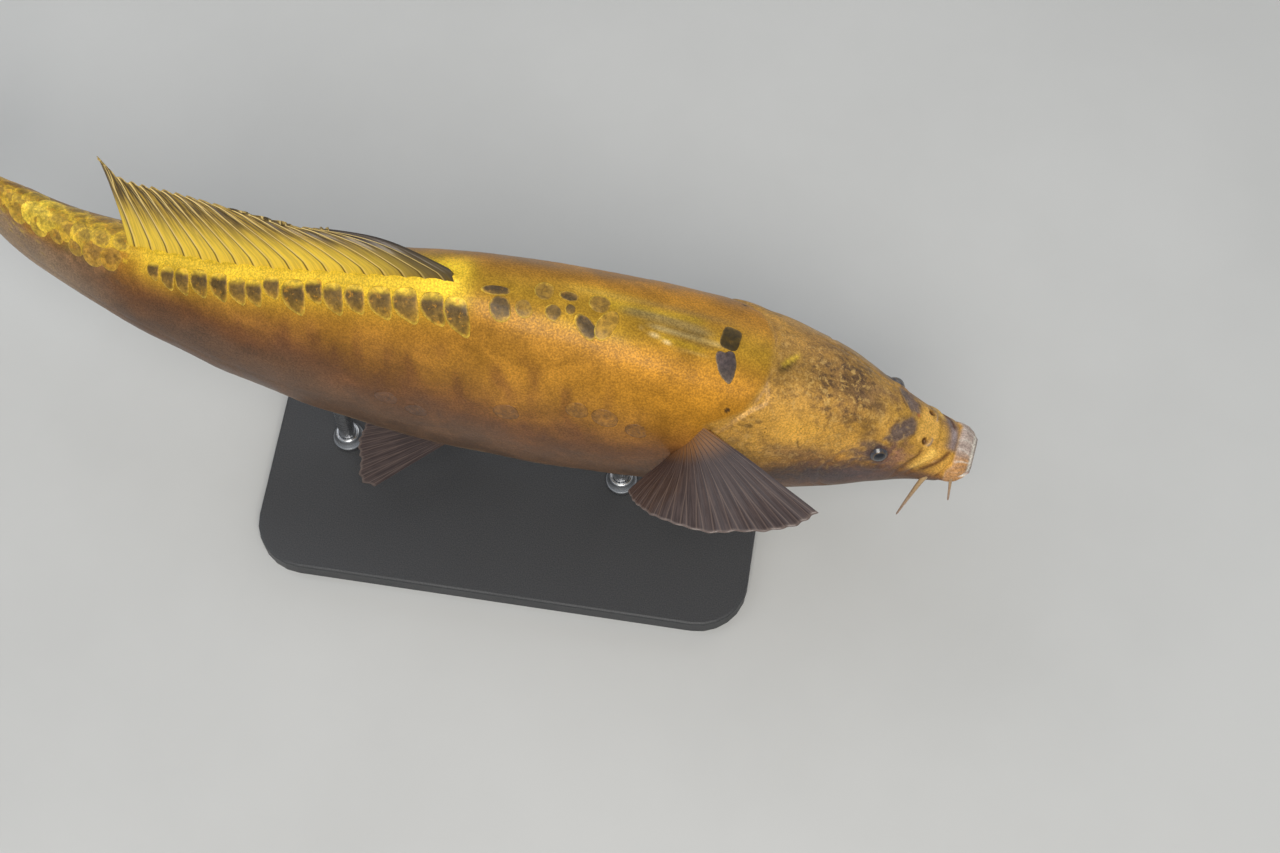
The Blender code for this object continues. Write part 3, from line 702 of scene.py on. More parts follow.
def tint_of(sites: Sites) -> Array:
    """Colour of the skin: broad zones that melt into each other, then the marks on top.

    Args:
        sites: Places on the body.

    Returns:
        Red, green and blue along a new last axis.
    """
    share, back, points = sites.share, sites.back, sites.points
    wobble = 5.0 * ripple(points, 45.0, 11) + 2.0 * ripple(points, 12.0, 12)
    colour = np.broadcast_to(HUE.ochre, (*share.shape, 3)).copy()

    def lay(paint: Colour, strength: Array) -> None:
        """Mixes a colour over the whole by its strength."""
        colour[...] += (np.array(paint) - colour) * np.clip(strength, 0.0, 1.0)[..., None]

    lay(HUE.back_gold, 0.7 * bell(back, 15.0))
    lay(HUE.shoulder, 0.85 * bell(share - 0.25, 0.09) * bell(back - 38.0, 22.0))
    # painted sheen: the far (left) side's upper flank turns a pale tan
    lay(HUE.far_sheen, 0.45 * (sites.side > 0) * smoothstep(18.0, 50.0, back) * falling(80.0, 110.0, back))
    # painted shade: the lower flank and lower head turn bronze, then bluish grey, reaching higher towards the
    # tail; the bronze is partly the fish's own colour
    lay(HUE.low_bronze, 0.95 * smoothstep(44.0, 84.0, back + wobble + 24.0 * smoothstep(0.42, 0.72, share)))
    # painted shade: darker vertical bars over the lower middle flank
    shade_bars = smoothstep(0.1, 0.9, ripple(points * (2.4, 0.8, 0.8), 24.0, 31))
    lay(HUE.low_bronze, 0.55 * shade_bars * smoothstep(28.0, 54.0, back) * smoothstep(0.28, 0.4, share))
    lay(HUE.low_grey, 0.8 * smoothstep(66.0, 100.0, back + wobble + 18.0 * smoothstep(0.4, 0.7, share)))
    lay(HUE.stalk_tan, 0.8 * smoothstep(0.8, 0.94, share) * smoothstep(26.0, 58.0, back + 2.0 * wobble))
    lay(HUE.belly, smoothstep(112.0, 150.0, back + wobble))
    head = falling(-4.0 * MM, 4.0 * MM, behind_nape(sites))
    lay(HUE.head_gold, 0.75 * head * falling(55.0, 85.0, back + wobble))
    lay(HUE.head_brown, 0.4 * head * bell(back, 26.0) * smoothstep(0.06, 0.1, share))
    for shape, paint, strength in MARKS:
        lay(paint, strength * shape.weight(sites))
    lips = falling(-0.006, -0.0025, share - 0.006 * smoothstep(40.0, 70.0, back))
    lay(HUE.lip, lips)
    lay(HUE.lip_gold, 0.85 * lips * smoothstep(12.0, 40.0, back - 40.0 * (sites.side > 0) + 2.0 * wobble))
    folds = np.sin(np.radians(sites.turn) * 15.0 + 1.2 * ripple(points, 14.0, 5))
    above = lips * falling(30.0, 70.0, back)
    lay(HUE.lip_pale, 0.42 * above * smoothstep(0.7, 1.0, folds))
    lay(HUE.lip_dark, 0.35 * above * smoothstep(0.4, 1.0, -folds))
    lay(HUE.lip_rim, bell(share + 0.0192, 0.0013))
    return colour


def traits_of(sites: Sites) -> Array:
    """Mottling on the head, metal sheen and pores of the skin.

    Args:
        sites: Places on the body.

    Returns:
        The three along a new last axis, each from 0 to 1.
    """
    head = falling(-3.0 * MM, 3.0 * MM, behind_nape(sites)) * smoothstep(0.03, 0.055, sites.share)
    crown = mix(0.45, 1.0, Spot(115, 8, 34, 26).weight(sites)) * falling(60.0, 90.0, sites.back)
    mottle = head * crown * (1.0 - 0.75 * Spot(165, 44, 26, 14).weight(sites))
    mottle = mottle * (1.0 - 0.9 * Line((180, 5, 160, -9), 2.6, 0.3, RIGHT).weight(sites))
    metal = falling(95.0, 140.0, sites.back) * smoothstep(0.0, 0.03, sites.share)
    pores = head * np.maximum.reduce((
        Line((205, 44, 185, 46, 160, 42, 130, 42, 100, 50), 5, 0.1).weight(sites),
        0.6 * Spot(170, 52, 22, 14).weight(sites),
        Line((95, 60, 110, 74, 118, 94), 3, 0.1).weight(sites)))
    return stacked(mottle, metal * (1.0 - 0.6 * RELIEF.eye.weight(sites)), pores)


# ======== meshes from grids
class Ends(Enum):
    """How a grid's first and last rows are closed."""

    FAN = "faces to a point in the middle"
    STRIP = "faces from one half of the row across to the other"
    LOOP = "the last row joins the first"


@dataclass
class SurfaceGrid:
    """A surface of two parameters: rows by columns of points, whose last column joins its first.

    A UV map has one more column than the points. Values are attributes of the points.
    """

    points: Array
    uv: Optional[Array] = None
    values: dict[str, Array] = field(default_factory=dict)
    ends: Ends = Ends.FAN

    def faces(self) -> tuple[Array, ...]:
        """Numbers the corners of the faces between rows and of those that close the ends.

        Returns:
            Quads by their vertices and by their UVs, then triangles by the same.
        """
        rows, columns = self.points.shape[:2]
        wide = columns + 1
        r, c = (a.ravel() for a in np.indices((rows if self.ends is Ends.LOOP else rows - 1, columns)))
        corners = ((r, c), (r, c + 1), (r + 1, c + 1), (r + 1, c))
        quads = [stacked(*(a % rows * columns + b % columns for a, b in corners))]
        quad_uvs = [stacked(*(a * wide + b for a, b in corners))]
        tris, tri_uvs = [np.zeros((0, 3), int)], [np.zeros((0, 3), int)]
        for end, row in enumerate((0, rows - 1)):
            way = slice(None, None, 1 - 2 * end)
            if self.ends is Ends.FAN:
                a, middle = np.arange(columns), rows * columns + end
                tris.append(stacked(row * columns + (a + 1) % columns, row * columns + a, middle)[:, way])
                tri_uvs.append(row * wide + stacked(a + 1, a, a)[:, way])
            elif self.ends is Ends.STRIP:
                a = np.arange(columns // 2 - 1)
                b = columns - 1 - a
                strip = stacked(a + 1, a, b, b - 1)[:, way]
                quads.append(row * columns + strip)
                quad_uvs.append(row * wide + strip)
        return tuple(np.concatenate(part) for part in (quads, quad_uvs, tris, tri_uvs))

    def listed(self, values: Array) -> Array:
        """The points' values in one list, then the mean of an end row for each fan's middle."""
        means = [values[row].mean(axis=0, keepdims=True) for row in (0, -1)] if self.ends is Ends.FAN else []
        return np.concatenate([values.reshape(-1, values.shape[-1]), *means])


def signed_volume(points: Array, quads: Array, tris: Array) -> float:
    """Six times the volume inside faces: the sum of their corners' triple products.

    Args:
        points: The corners' places.
        quads: Corners of the four-sided faces.
        tris: Corners of the triangles.

    Returns:
        The volume, negative where the faces point inwards.
    """
    points = points - points.mean(axis=0)
    halves = np.concatenate((quads[:, (0, 1, 2)], quads[:, (0, 2, 3)], tris))
    a, b, c = (points[halves[:, i]] for i in range(3))
    return float((a * np.cross(b, c)).sum())


def place_object(name: str, data: bpy.types.ID) -> bpy.types.Object:
    """Adds an object to the scene.

    Args:
        name: The object's name.
        data: Its mesh, light or camera.

    Returns:
        The object, at the origin.
    """
    thing = bpy.data.objects.new(name, data)
    bpy.context.scene.collection.objects.link(thing)
    return thing


def build_piece(name: str, grids: list[SurfaceGrid], material: bpy.types.Material,
                replaces: tuple[str, ...] = (), uv_name: str = "Surface") -> bpy.types.Object:
    """Joins closed grids into one mesh piece that rides on the model and points outwards.

    Args:
        name: The piece's name.
        grids: Its surfaces, each closed on its own.
        material: Its finish.
        replaces: Solids that it stands for.
        uv_name: Name of its UV map.

    Returns:
        The piece's object, at the origin.
    """
    points, quads, tris, quad_uvs, tri_uvs = [], [], [], [], []
    base = 0
    for grid in grids:
        flat, parts = grid.listed(grid.points), grid.faces()
        if signed_volume(flat, parts[0], parts[2]) < 0:
            parts = [part[:, ::-1] for part in parts]
        points.append(flat)
        quads.append(parts[0] + base)
        tris.append(parts[2] + base)
        base += len(flat)
        if grid.uv is not None:
            quad_uvs.append(grid.uv.reshape(-1, 2)[parts[1]])
            tri_uvs.append(grid.uv.reshape(-1, 2)[parts[3]])
    points, quads, tris = np.concatenate(points), np.concatenate(quads), np.concatenate(tris)
    loops = np.concatenate((quads.ravel(), tris.ravel()))
    sizes = np.repeat((4, 3), (len(quads), len(tris)))
    mesh = bpy.data.meshes.new(name)

    def fill(collection: bpy.types.bpy_prop_collection, key: str, values: Array, kind: type) -> None:
        """Writes values of one kind into a collection of the mesh."""
        collection.foreach_set(key, np.ascontiguousarray(values, kind).ravel())

    mesh.vertices.add(len(points))
    mesh.loops.add(len(loops))
    mesh.polygons.add(len(sizes))
    fill(mesh.vertices, "co", points, np.float32)
    fill(mesh.loops, "vertex_index", loops, np.int32)
    fill(mesh.polygons, "loop_start", np.cumsum(sizes) - sizes, np.int32)
    fill(mesh.polygons, "loop_total", sizes, np.int32)
    fill(mesh.polygons, "use_smooth", np.ones(len(sizes)), bool)
    mesh.update(calc_edges=True)
    if quad_uvs:
        flat_uv = np.concatenate([uv.reshape(-1, 2) for uv in quad_uvs + tri_uvs])
        fill(mesh.uv_layers.new(name=uv_name).data, "uv", flat_uv, np.float32)
    for key in grids[0].values:
        value = np.concatenate([grid.listed(grid.values[key]) for grid in grids])
        if key == "tint":
            value = np.concatenate((value, np.ones((len(value), 1))), axis=1)
            fill(mesh.attributes.new(key, "FLOAT_COLOR", "POINT").data, "color", value, np.float32)
        else:
            fill(mesh.attributes.new(key, "FLOAT_VECTOR", "POINT").data, "vector", value, np.float32)
    mesh.validate()
    mesh.materials.append(material)
    thing = place_object(name, mesh)
    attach(thing, "root")
    if replaces:
        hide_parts(*replaces)
    LOG.info("%s: %d triangles", name, 2 * len(quads) + len(tris))
    return thing


# ======== finishes
class Nodes:
    """Short ways of adding shader nodes to a new material, whose patterns read Object coordinates."""

    def __init__(self, name: str) -> None:
        """Makes a material with a Principled shader.

        Args:
            name: The material's name.
        """
        self.material = bpy.data.materials.new(name)
        self.material.use_nodes = True
        self.tree = self.material.node_tree
        self.shader = self.tree.nodes["Principled BSDF"]
        self.place = self.add("ShaderNodeTexCoord").outputs["Object"]

    def add(self, kind: str, inputs: Optional[dict] = None, **settings: object) -> bpy.types.Node:
        """Adds a node.

        Args:
            kind: The node's type.
            inputs: Values or sockets for its inputs; None leaves one as it is.
            **settings: Its properties.

        Returns:
            The node.
        """
        node = self.tree.nodes.new(kind)
        for key, value in settings.items():
            setattr(node, key, value)
        for key, value in (inputs or {}).items():
            if value is not None:
                self.feed(node.inputs[key], value)
        return node

    def feed(self, socket: Output, value: object) -> None:
        """Links a socket or sets a value on an input.

        Args:
            socket: The input.
            value: A socket, a number or a tuple; a colour gets its fourth number here.
        """
        if isinstance(value, Output):
            self.tree.links.new(value, socket)
        elif isinstance(value, tuple) and socket.type == "RGBA":
            socket.default_value = (*value, 1.0)
        else:
            socket.default_value = value

    def finish(self, **values: object) -> bpy.types.Material:
        """Feeds the shader's inputs, with underscores for spaces.

        Args:
            **values: Values or sockets by the inputs' names.

        Returns:
            The material.
        """
        for key, value in values.items():
            self.feed(self.shader.inputs[key.replace("_", " ")], value)
        return self.material

    def math(self, operation: str, a: Socket, b: Socket = 0.0) -> Output:
        """A Math node's result."""
        return self.add("ShaderNodeMath", {0: a, 1: b}, operation=operation).outputs[0]

    def mul(self, *values: Socket) -> Output:
        """The product of values."""
        return reduce(lambda a, b: self.math("MULTIPLY", a, b), values)

    def gap(self, a: Socket, b: Socket) -> Output:
        """The distance between two values."""
        return self.math("ABSOLUTE", self.math("SUBTRACT", a, b))

    def ease(self, value: Socket, low: float, high: float, start: float = 0.0, end: float = 1.0) -> Output:
        """A smooth ramp of a value between low and high."""
        return self.add("ShaderNodeMapRange", {0: value, 1: low, 2: high, 3: start, 4: end},
                        interpolation_type="SMOOTHSTEP").outputs[0]

    def blend(self, factor: Socket, a: object, b: object, kind: str = "MIX") -> Output:
        """A mix of two colours."""
        return self.add("ShaderNodeMix", {0: factor, 6: a, 7: b}, data_type="RGBA",
                        blend_type=kind).outputs[2]

    def lay(self, colour: Output, paint: Colour, *factors: Socket) -> Output:
        """A paint laid over a colour by the product of factors."""
        return self.blend(self.mul(*factors), colour, paint)

    def vector(self, x: Socket, y: Socket, z: Socket = 0.0) -> Output:
        """Three values as a vector."""
        return self.add("ShaderNodeCombineXYZ", {0: x, 1: y, 2: z}).outputs[0]

    def shaded(self, colour: Output, shade: Output) -> Output:
        """A colour made lighter or darker by a factor."""
        return self.blend(1.0, colour, self.vector(shade, shade, shade), "MULTIPLY")

    def value_of(self, name: str, output: str = "Color") -> Output:
        """A mesh attribute's value."""
        return self.add("ShaderNodeAttribute", attribute_name=name).outputs[output]

    def split(self, vector: Output) -> tuple:
        """The three parts of a vector."""
        return tuple(self.add("ShaderNodeSeparateXYZ", {0: vector}).outputs)

    def traits(self) -> tuple:
        """The three parts of the mesh's traits."""
        return self.split(self.value_of("traits", "Vector"))

    def map(self) -> tuple:
        """The parts U and V of the piece's own map, and a zero."""
        return self.split(self.add("ShaderNodeUVMap", uv_map="Surface").outputs[0])

    def stretch(self, scale: tuple) -> Output:
        """Object coordinates stretched by a Mapping node."""
        return self.add("ShaderNodeMapping", {"Vector": self.place, "Scale": scale}).outputs[0]

    def noise(self, scale: float, detail: float, roughness: float = 0.55, distortion: float = 0.0,
              place: Optional[Output] = None) -> Output:
        """Noise of about one feature in 1/scale of its coordinates."""
        inputs = {"Vector": self.place if place is None else place, "Scale": scale, "Detail": detail,
                  "Roughness": roughness, "Distortion": distortion}
        return self.add("ShaderNodeTexNoise", inputs).outputs[0]

    def cells(self, scale: float) -> Output:
        """Distance to the middle of each cell in a Voronoi pattern."""
        return self.add("ShaderNodeTexVoronoi", {"Vector": self.place, "Scale": scale}).outputs["Distance"]

    def bump(self, height: Socket, distance: float, strength: float,
             below: Optional[Output] = None) -> Output:
        """A bumped normal, laid over another where one is given."""
        inputs = {"Height": height, "Distance": distance, "Strength": strength, "Normal": below}
        return self.add("ShaderNodeBump", inputs).outputs[0]


@dataclass(frozen=True)
class SkinFinish:
    """Wet, faintly metallic skin: grains of gold under a clear film, mottled and pored on the head."""

    name: str = "wet golden skin"
    roughness: tuple[float, float] = (0.36, 0.5)
    film: float = 0.09
    gloss: float = 0.2
    dark: Colour = (0.06, 0.036, 0.03)
    light: Colour = (0.86, 0.54, 0.17)
    pore: Colour = (0.025, 0.015, 0.01)
    fleck: Colour = (0.1, 0.055, 0.025)

    def make(self) -> bpy.types.Material:
        """Builds the material from the skin's tint and traits.

        Returns:
            The material.
        """
        n = Nodes(self.name)
        mottle, metal, pores = n.traits()
        grain, cloud = n.noise(950.0, 3.0, 0.65), n.noise(46.0, 5.0, 0.62, 0.6)
        patch = n.noise(1.0, 6.0, 0.68, 0.4, n.stretch((150.0, 190.0, 190.0)))
        broad = n.noise(1.0, 4.0, 0.6, 0.8, n.stretch((14.0, 30.0, 22.0)))
        shade = n.mul(n.ease(grain, 0.34, 0.68, 0.7, 1.22), n.ease(cloud, 0.34, 0.68, 0.8, 1.14),
                      n.ease(broad, 0.36, 0.64, 0.84, 1.08))
        colour = n.shaded(n.value_of("tint"), shade)
        granular = n.noise(420.0, 4.0, 0.7, 0.8)
        stain = n.mul(n.ease(patch, 0.44, 0.58), n.ease(granular, 0.36, 0.58, 0.22, 1.0))
        colour = n.lay(colour, self.dark, stain, n.mul(mottle, 0.85))
        speckle = n.ease(n.noise(300.0, 4.0, 0.7, 0.4), 0.52, 0.64)
        colour = n.lay(colour, self.light, speckle, n.mul(mottle, 0.55))
        dot = n.ease(n.cells(330.0), 0.1, 0.22, 1.0, 0.0)
        some = n.ease(n.noise(190.0, 1.0), 0.5, 0.56)
        colour = n.lay(colour, self.pore, dot, some, pores, 0.85)
        colour = n.lay(colour, self.fleck, n.ease(n.noise(150.0, 6.0, 0.75), 0.64, 0.69), 0.22)
        pebble = n.bump(n.cells(620.0), 0.0001, 0.5, n.bump(grain, 0.00012, 0.55))
        return n.finish(Base_Color=colour, Roughness=n.ease(cloud, 0.3, 0.7, *self.roughness),
                        Metallic=n.mul(metal, n.ease(grain, 0.4, 0.7, 0.06, 0.24)),
                        Normal=n.bump(n.mul(granular, mottle), 0.00055, 0.6, pebble),
                        Coat_Weight=self.film, Coat_Roughness=0.18, IOR=1.4, Specular_IOR_Level=self.gloss)


@dataclass(frozen=True)
class FinFinish:
    """Ray-stiffened web: a light line along each ray with a line of painted shade beside it, over a streaked
    membrane.

    The UV map counts rays along U and runs from root to edge along V.
    """

    name: str
    web: Colour
    streak: Colour
    light: Colour
    dark: Colour
    root: Colour
    edge: Colour
    root_reach: float
    dusk: float = 0.0
    lead: Colour = (0.05, 0.036, 0.028)
    lead_reach: float = 0.0
    metal: float = 0.12

    def make(self) -> bpy.types.Material:
        """Builds the material from the fin's own map.

        Returns:
            The material.
        """
        n = Nodes(self.name)
        along, out, _ = n.map()
        phase = n.math("FRACT", along)
        fine = n.vector(n.mul(along, 7.0), n.mul(out, 2.2))
        streaks = n.noise(1.0, 4.0, 0.65, 0.3, fine)
        colour = n.blend(n.ease(streaks, 0.43, 0.58), self.web, self.streak)
        colour = n.lay(colour, self.dark, n.ease(n.noise(70.0, 4.0, 0.6), 0.45, 0.7, 0.0, 0.35))
        if self.dusk:
            colour = n.lay(colour, self.dark, n.ease(out, 0.22, 0.72, 0.0, self.dusk),
                           n.ease(streaks, 0.38, 0.54, 0.2, 1.0))
        colour = n.lay(colour, self.root, n.ease(out, 0.1, self.root_reach, 1.0, 0.0),
                       n.ease(streaks, 0.4, 0.6, 1.0, 0.72))
        if self.lead_reach:
            colour = n.lay(colour, self.lead, n.ease(along, 0.0, self.lead_reach, 1.0, 0.0), 0.94)
        # painted shade: a dark line along one side of each ray
        beside = n.ease(n.gap(n.math("SUBTRACT", phase, 0.5), 0.115), 0.02, 0.085, 1.0, 0.0)
        colour = n.lay(colour, self.dark, beside, n.ease(out, 0.06, 0.75, 1.0, 0.5), 0.88)
        branch = n.gap(n.gap(phase, 0.5), n.ease(out, 0.45, 1.0, 0.0, 0.2))
        ray = n.mul(n.ease(branch, 0.015, 0.075, 1.0, 0.0), n.ease(out, 0.0, 0.22, 0.25, 0.92))
        colour = n.lay(colour, self.light, ray)
        colour = n.lay(colour, self.edge, n.ease(out, 0.965, 1.0), 0.7)
        joint = n.add("ShaderNodeTexWave", {"Vector": fine, "Scale": 9.0, "Distortion": 0.6},
                      bands_direction="Y").outputs[1]
        ridges = n.bump(n.mul(joint, ray), 0.00012, 0.35)
        return n.finish(Base_Color=colour, Roughness=n.ease(streaks, 0.3, 0.7, 0.36, 0.5),
                        Metallic=self.metal, Normal=n.bump(streaks, 0.00025, 0.5, ridges),
                        Coat_Weight=0.3, Coat_Roughness=0.18, IOR=1.4)


@dataclass(frozen=True)
class ScaleFinish:
    """Smooth horny scale with fine growth rings, which follow the distance from its middle."""

    name: str = "mirror scale"
    gold: Colour = (0.66, 0.3, 0.02)

    def make(self) -> bpy.types.Material:
        """Builds the material from the scale's tint and traits.

        Returns:
            The material.
        """
        n = Nodes(self.name)
        out, turn, tone = n.traits()
        flecks, cloud = n.noise(520.0, 4.0, 0.7, 0.5), n.noise(170.0, 3.0, 0.6)
        shade = n.mul(n.ease(flecks, 0.34, 0.66, 0.66, 1.22), n.ease(cloud, 0.3, 0.7, 0.7, 1.22))
        colour = n.shaded(n.value_of("tint"), shade)
        colour = n.lay(colour, self.gold, n.ease(n.noise(300.0, 5.0, 0.7), 0.56, 0.64), tone, 0.7)
        rings, rays = n.math("SINE", n.mul(out, 75.0)), n.math("SINE", n.mul(turn, 60.0))
        relief = n.math("ADD", rings, n.mul(rays, 0.5))
        return n.finish(Base_Color=colour, Roughness=n.ease(flecks, 0.3, 0.7, 0.34, 0.48), Metallic=0.12,
                        Normal=n.bump(relief, 0.00006, 0.5, n.bump(flecks, 0.00012, 0.4)),
                        Coat_Weight=0.16, Coat_Roughness=0.18, IOR=1.4)


@dataclass(frozen=True)
class EyeFinish:
    """A dark pupil, a thin bronze ring and a slate iris under a clear cornea; V runs out from the pupil."""

    name: str = "eye"
    pupil: float = 0.155
    iris: float = 0.3
    slate: tuple[Colour, Colour] = ((0.03, 0.034, 0.052), (0.075, 0.068, 0.072))
    rust: Colour = (0.15, 0.085, 0.03)
    bronze: Colour = (0.19, 0.125, 0.055)
    black: Colour = (0.006, 0.007, 0.012)
    white: Colour = (0.04, 0.036, 0.04)

    def make(self) -> bpy.types.Material:
        """Builds the material from the eyeball's map.

        Returns:
            The material.
        """
        n = Nodes(self.name)
        around, out, _ = n.map()
        fibre = n.noise(1.0, 3.0, 0.6, place=n.vector(n.mul(around, 60.0), n.mul(out, 14.0)))
        colour = n.blend(n.ease(fibre, 0.35, 0.65), *self.slate)
        colour = n.lay(colour, self.rust, n.ease(n.noise(420.0, 3.0, 0.6), 0.5, 0.68, 0.0, 0.5))
        ring = n.ease(n.gap(out, self.pupil + 0.02), 0.004, 0.022, 1.0, 0.0)
        colour = n.lay(colour, self.bronze, ring, 0.6)
        colour = n.lay(colour, self.black, n.ease(out, self.pupil - 0.012, self.pupil + 0.006, 1.0, 0.0))
        colour = n.lay(colour, self.white, n.ease(out, self.iris - 0.03, self.iris + 0.03))
        return n.finish(Base_Color=colour, Roughness=0.3, Metallic=n.mul(ring, 0.6),
                        Normal=n.bump(fibre, 0.0001, 0.3), Coat_Weight=1.0, Coat_Roughness=0.03, IOR=1.38)


@dataclass(frozen=True)
class FeelerFinish:
    """Soft barbel skin, pale gold at the root and greyer at the tip; V runs from root to tip."""

    name: str = "barbel skin"
    root: Colour = (0.52, 0.33, 0.13)
    tip: Colour = (0.34, 0.22, 0.16)
    dark: Colour = (0.22, 0.12, 0.06)

    def make(self) -> bpy.types.Material:
        """Builds the material from the barbel's map.

        Returns:
            The material.
        """
        n = Nodes(self.name)
        grain = n.noise(700.0, 3.0)
        colour = n.blend(n.map()[1], self.root, self.tip)
        colour = n.lay(colour, self.dark, n.ease(grain, 0.45, 0.7, 0.0, 0.5))
        return n.finish(Base_Color=colour, Roughness=n.ease(grain, 0.3, 0.7, 0.34, 0.48), Coat_Weight=0.3,
                        Coat_Roughness=0.2, Normal=n.bump(grain, 0.00012, 0.5))


@dataclass(frozen=True)
class PlateFinish:
    """Fine-textured dark powder coat."""

    name: str = "dark powder coat"
    tones: tuple[Colour, Colour] = ((0.03, 0.031, 0.034), (0.058, 0.059, 0.063))

    def make(self) -> bpy.types.Material:
        """Builds the material.

        Returns:
            The material.
        """
        n = Nodes(self.name)
        grain, cloud = n.noise(1500.0, 2.0, 0.6), n.noise(9.0, 4.0, 0.6)
        return n.finish(Base_Color=n.blend(n.ease(grain, 0.3, 0.7), *self.tones),
                        Roughness=n.ease(cloud, 0.3, 0.7, 0.44, 0.56), Normal=n.bump(grain, 0.00012, 0.6))


@dataclass(frozen=True)
class SteelFinish:
    """Steel brushed round the rod."""

    name: str = "brushed steel"
    tones: tuple[Colour, Colour] = ((0.5, 0.51, 0.53), (0.66, 0.67, 0.69))

    def make(self) -> bpy.types.Material:
        """Builds the material.

        Returns:
            The material.
        """
        n = Nodes(self.name)
        brush = n.noise(1.0, 3.0, 0.6, place=n.stretch((60.0, 60.0, 5200.0)))
        return n.finish(Base_Color=n.blend(n.ease(brush, 0.3, 0.7), *self.tones), Metallic=1.0,
                        Roughness=n.ease(brush, 0.3, 0.7, 0.24, 0.38), Normal=n.bump(brush, 0.00004, 0.4))


@dataclass(frozen=True)
class FloorFinish:
    """Plain pale floor with a barely visible unevenness."""

    name: str = "pale floor"
    tones: tuple[Colour, Colour] = ((0.56, 0.56, 0.55), (0.6, 0.6, 0.59))

    def make(self) -> bpy.types.Material:
        """Builds the material.

        Returns:
            The material.
        """
        n = Nodes(self.name)
        cloud = n.ease(n.noise(3.0, 5.0, 0.6), 0.3, 0.7)
        return n.finish(Base_Color=n.blend(cloud, *self.tones), Roughness=0.75)


# ======== the skin
def unrolled(share: Array, turn: Array) -> Array:
    """A place on the unrolled skin, from 0 to 1 along it and from 0 to 1 round it."""
    return stacked((share + 0.05) / 1.1, (turn + 90.0) / 360.0)


@dataclass
class Skin:
    """One skin from inside the lips to the end of the tail stalk."""

    columns: int = 210
    # share and spacing of the rings in millimetres
    spacing: tuple = ((-0.019, 0.58), (0.24, 0.58), (0.26, 1), (0.35, 1), (0.4, 2.85), (1, 2.85))
    lip: float = 0.0042
    gape: float = 0.0045
    # the inner rings: how far behind the lips' edge they lie as a share, and their depth in lips
    inner: tuple = ((0.02, 1.2), (0.014, 1.08), (0.008, 1.02), (0.003, 1), (0.0003, 0.85), (-0.0022, 0.45))
    nodes: tuple = ("mouth", "head", "left_gill_cover", "right_gill_cover", "front_trunk", "rear_trunk",
                    "tail_stalk")

    def turns(self) -> Array:
        """Turns of the columns: even steps of a summed density, twice as high beside eyes and nostrils.

        Returns:
            Degrees from -90.
        """
        fine = np.linspace(-90.0, 270.0, 3601)
        back = np.abs(fine - 90.0)
        run = summed(1.0 + 1.1 * smoothstep(6.0, 18.0, back) * falling(72.0, 95.0, back))
        return np.interp(np.arange(self.columns) / self.columns * run[-1], run, fine)

    def shares(self) -> Array:
        """Shares of the outer rings: even steps of the sum of one over the spacing.

        Returns:
            Shares from the lips' edge to the end of the stalk.
        """
        fine = np.linspace(BODY.start, BODY.end, 6001)
        run = summed(1.0 / np.interp(fine, *np.array(self.spacing).T))
        count = round(run[-1] * (fine[1] - fine[0]) * BODY.length / MM)
        return np.interp(np.linspace(0.0, run[-1], count), run, fine)

    def mouth_corner(self, share: Array, back: Array) -> Array:
        """How far the lips draw back at the corners of the mouth, in metres, fading behind them."""
        return self.gape * bell(back - 92.0, 17.0) * falling(BODY.start, 0.004, share)

    def inner_side(self, turns: Array, back: Array) -> Array:
        """The lips' inner side: rings of the body's edge pushed inwards, or a little forwards of it.

        Args:
            turns: Turns of the columns.
            back: Their back angles.

        Returns:
            Points from the mouth's end to the lips' edge.
        """
        rings = []
        ahead = BODY.forwards(BODY.start)
        corner = self.mouth_corner(BODY.start, back)[:, None]
        for behind, wall in self.inner:
            ring = BODY.surface(BODY.start + max(behind, 0.0), turns, -self.lip * wall)
            rings.append(ring - (min(behind, 0.0) * BODY.length + corner * (1.0 - wall * 0.4)) * ahead)
        return np.stack(rings)

    def build(self) -> bpy.types.Object:
        """Makes the skin: the relief raised over the body, then the lips' inner side and the mouth's end.

        Returns:
            The piece.
        """
        turns, shares = self.turns(), self.shares()
        sites = Sites(shares[:, None], turns[None, :])
        outer = sites.points + RELIEF.height(sites)[..., None] * sites.normals
        outer = outer - self.mouth_corner(sites.share, sites.back)[..., None] * BODY.forwards(sites.share)
        inner = self.inner_side(turns, sites.back[0])
        way = np.linspace(0.0, 1.0, len(inner))[:, None, None] ** 3
        flesh = np.broadcast_to(mix(np.array(HUE.flesh), HUE.lip, way), inner.shape)
        behind = 0.02 * np.linspace(1.0, 0.0, len(inner), endpoint=False)
        along = np.concatenate((BODY.start - behind, shares))[:, None]
        uv = unrolled(along, np.concatenate((turns, (270.0,))))
        values = {"tint": np.concatenate((flesh, tint_of(sites))),
                  "traits": np.concatenate((np.zeros_like(inner), traits_of(sites)))}
        grid = SurfaceGrid(np.concatenate((inner, outer)), uv, values)
        return build_piece("skin", [grid], SkinFinish().make(), self.nodes)


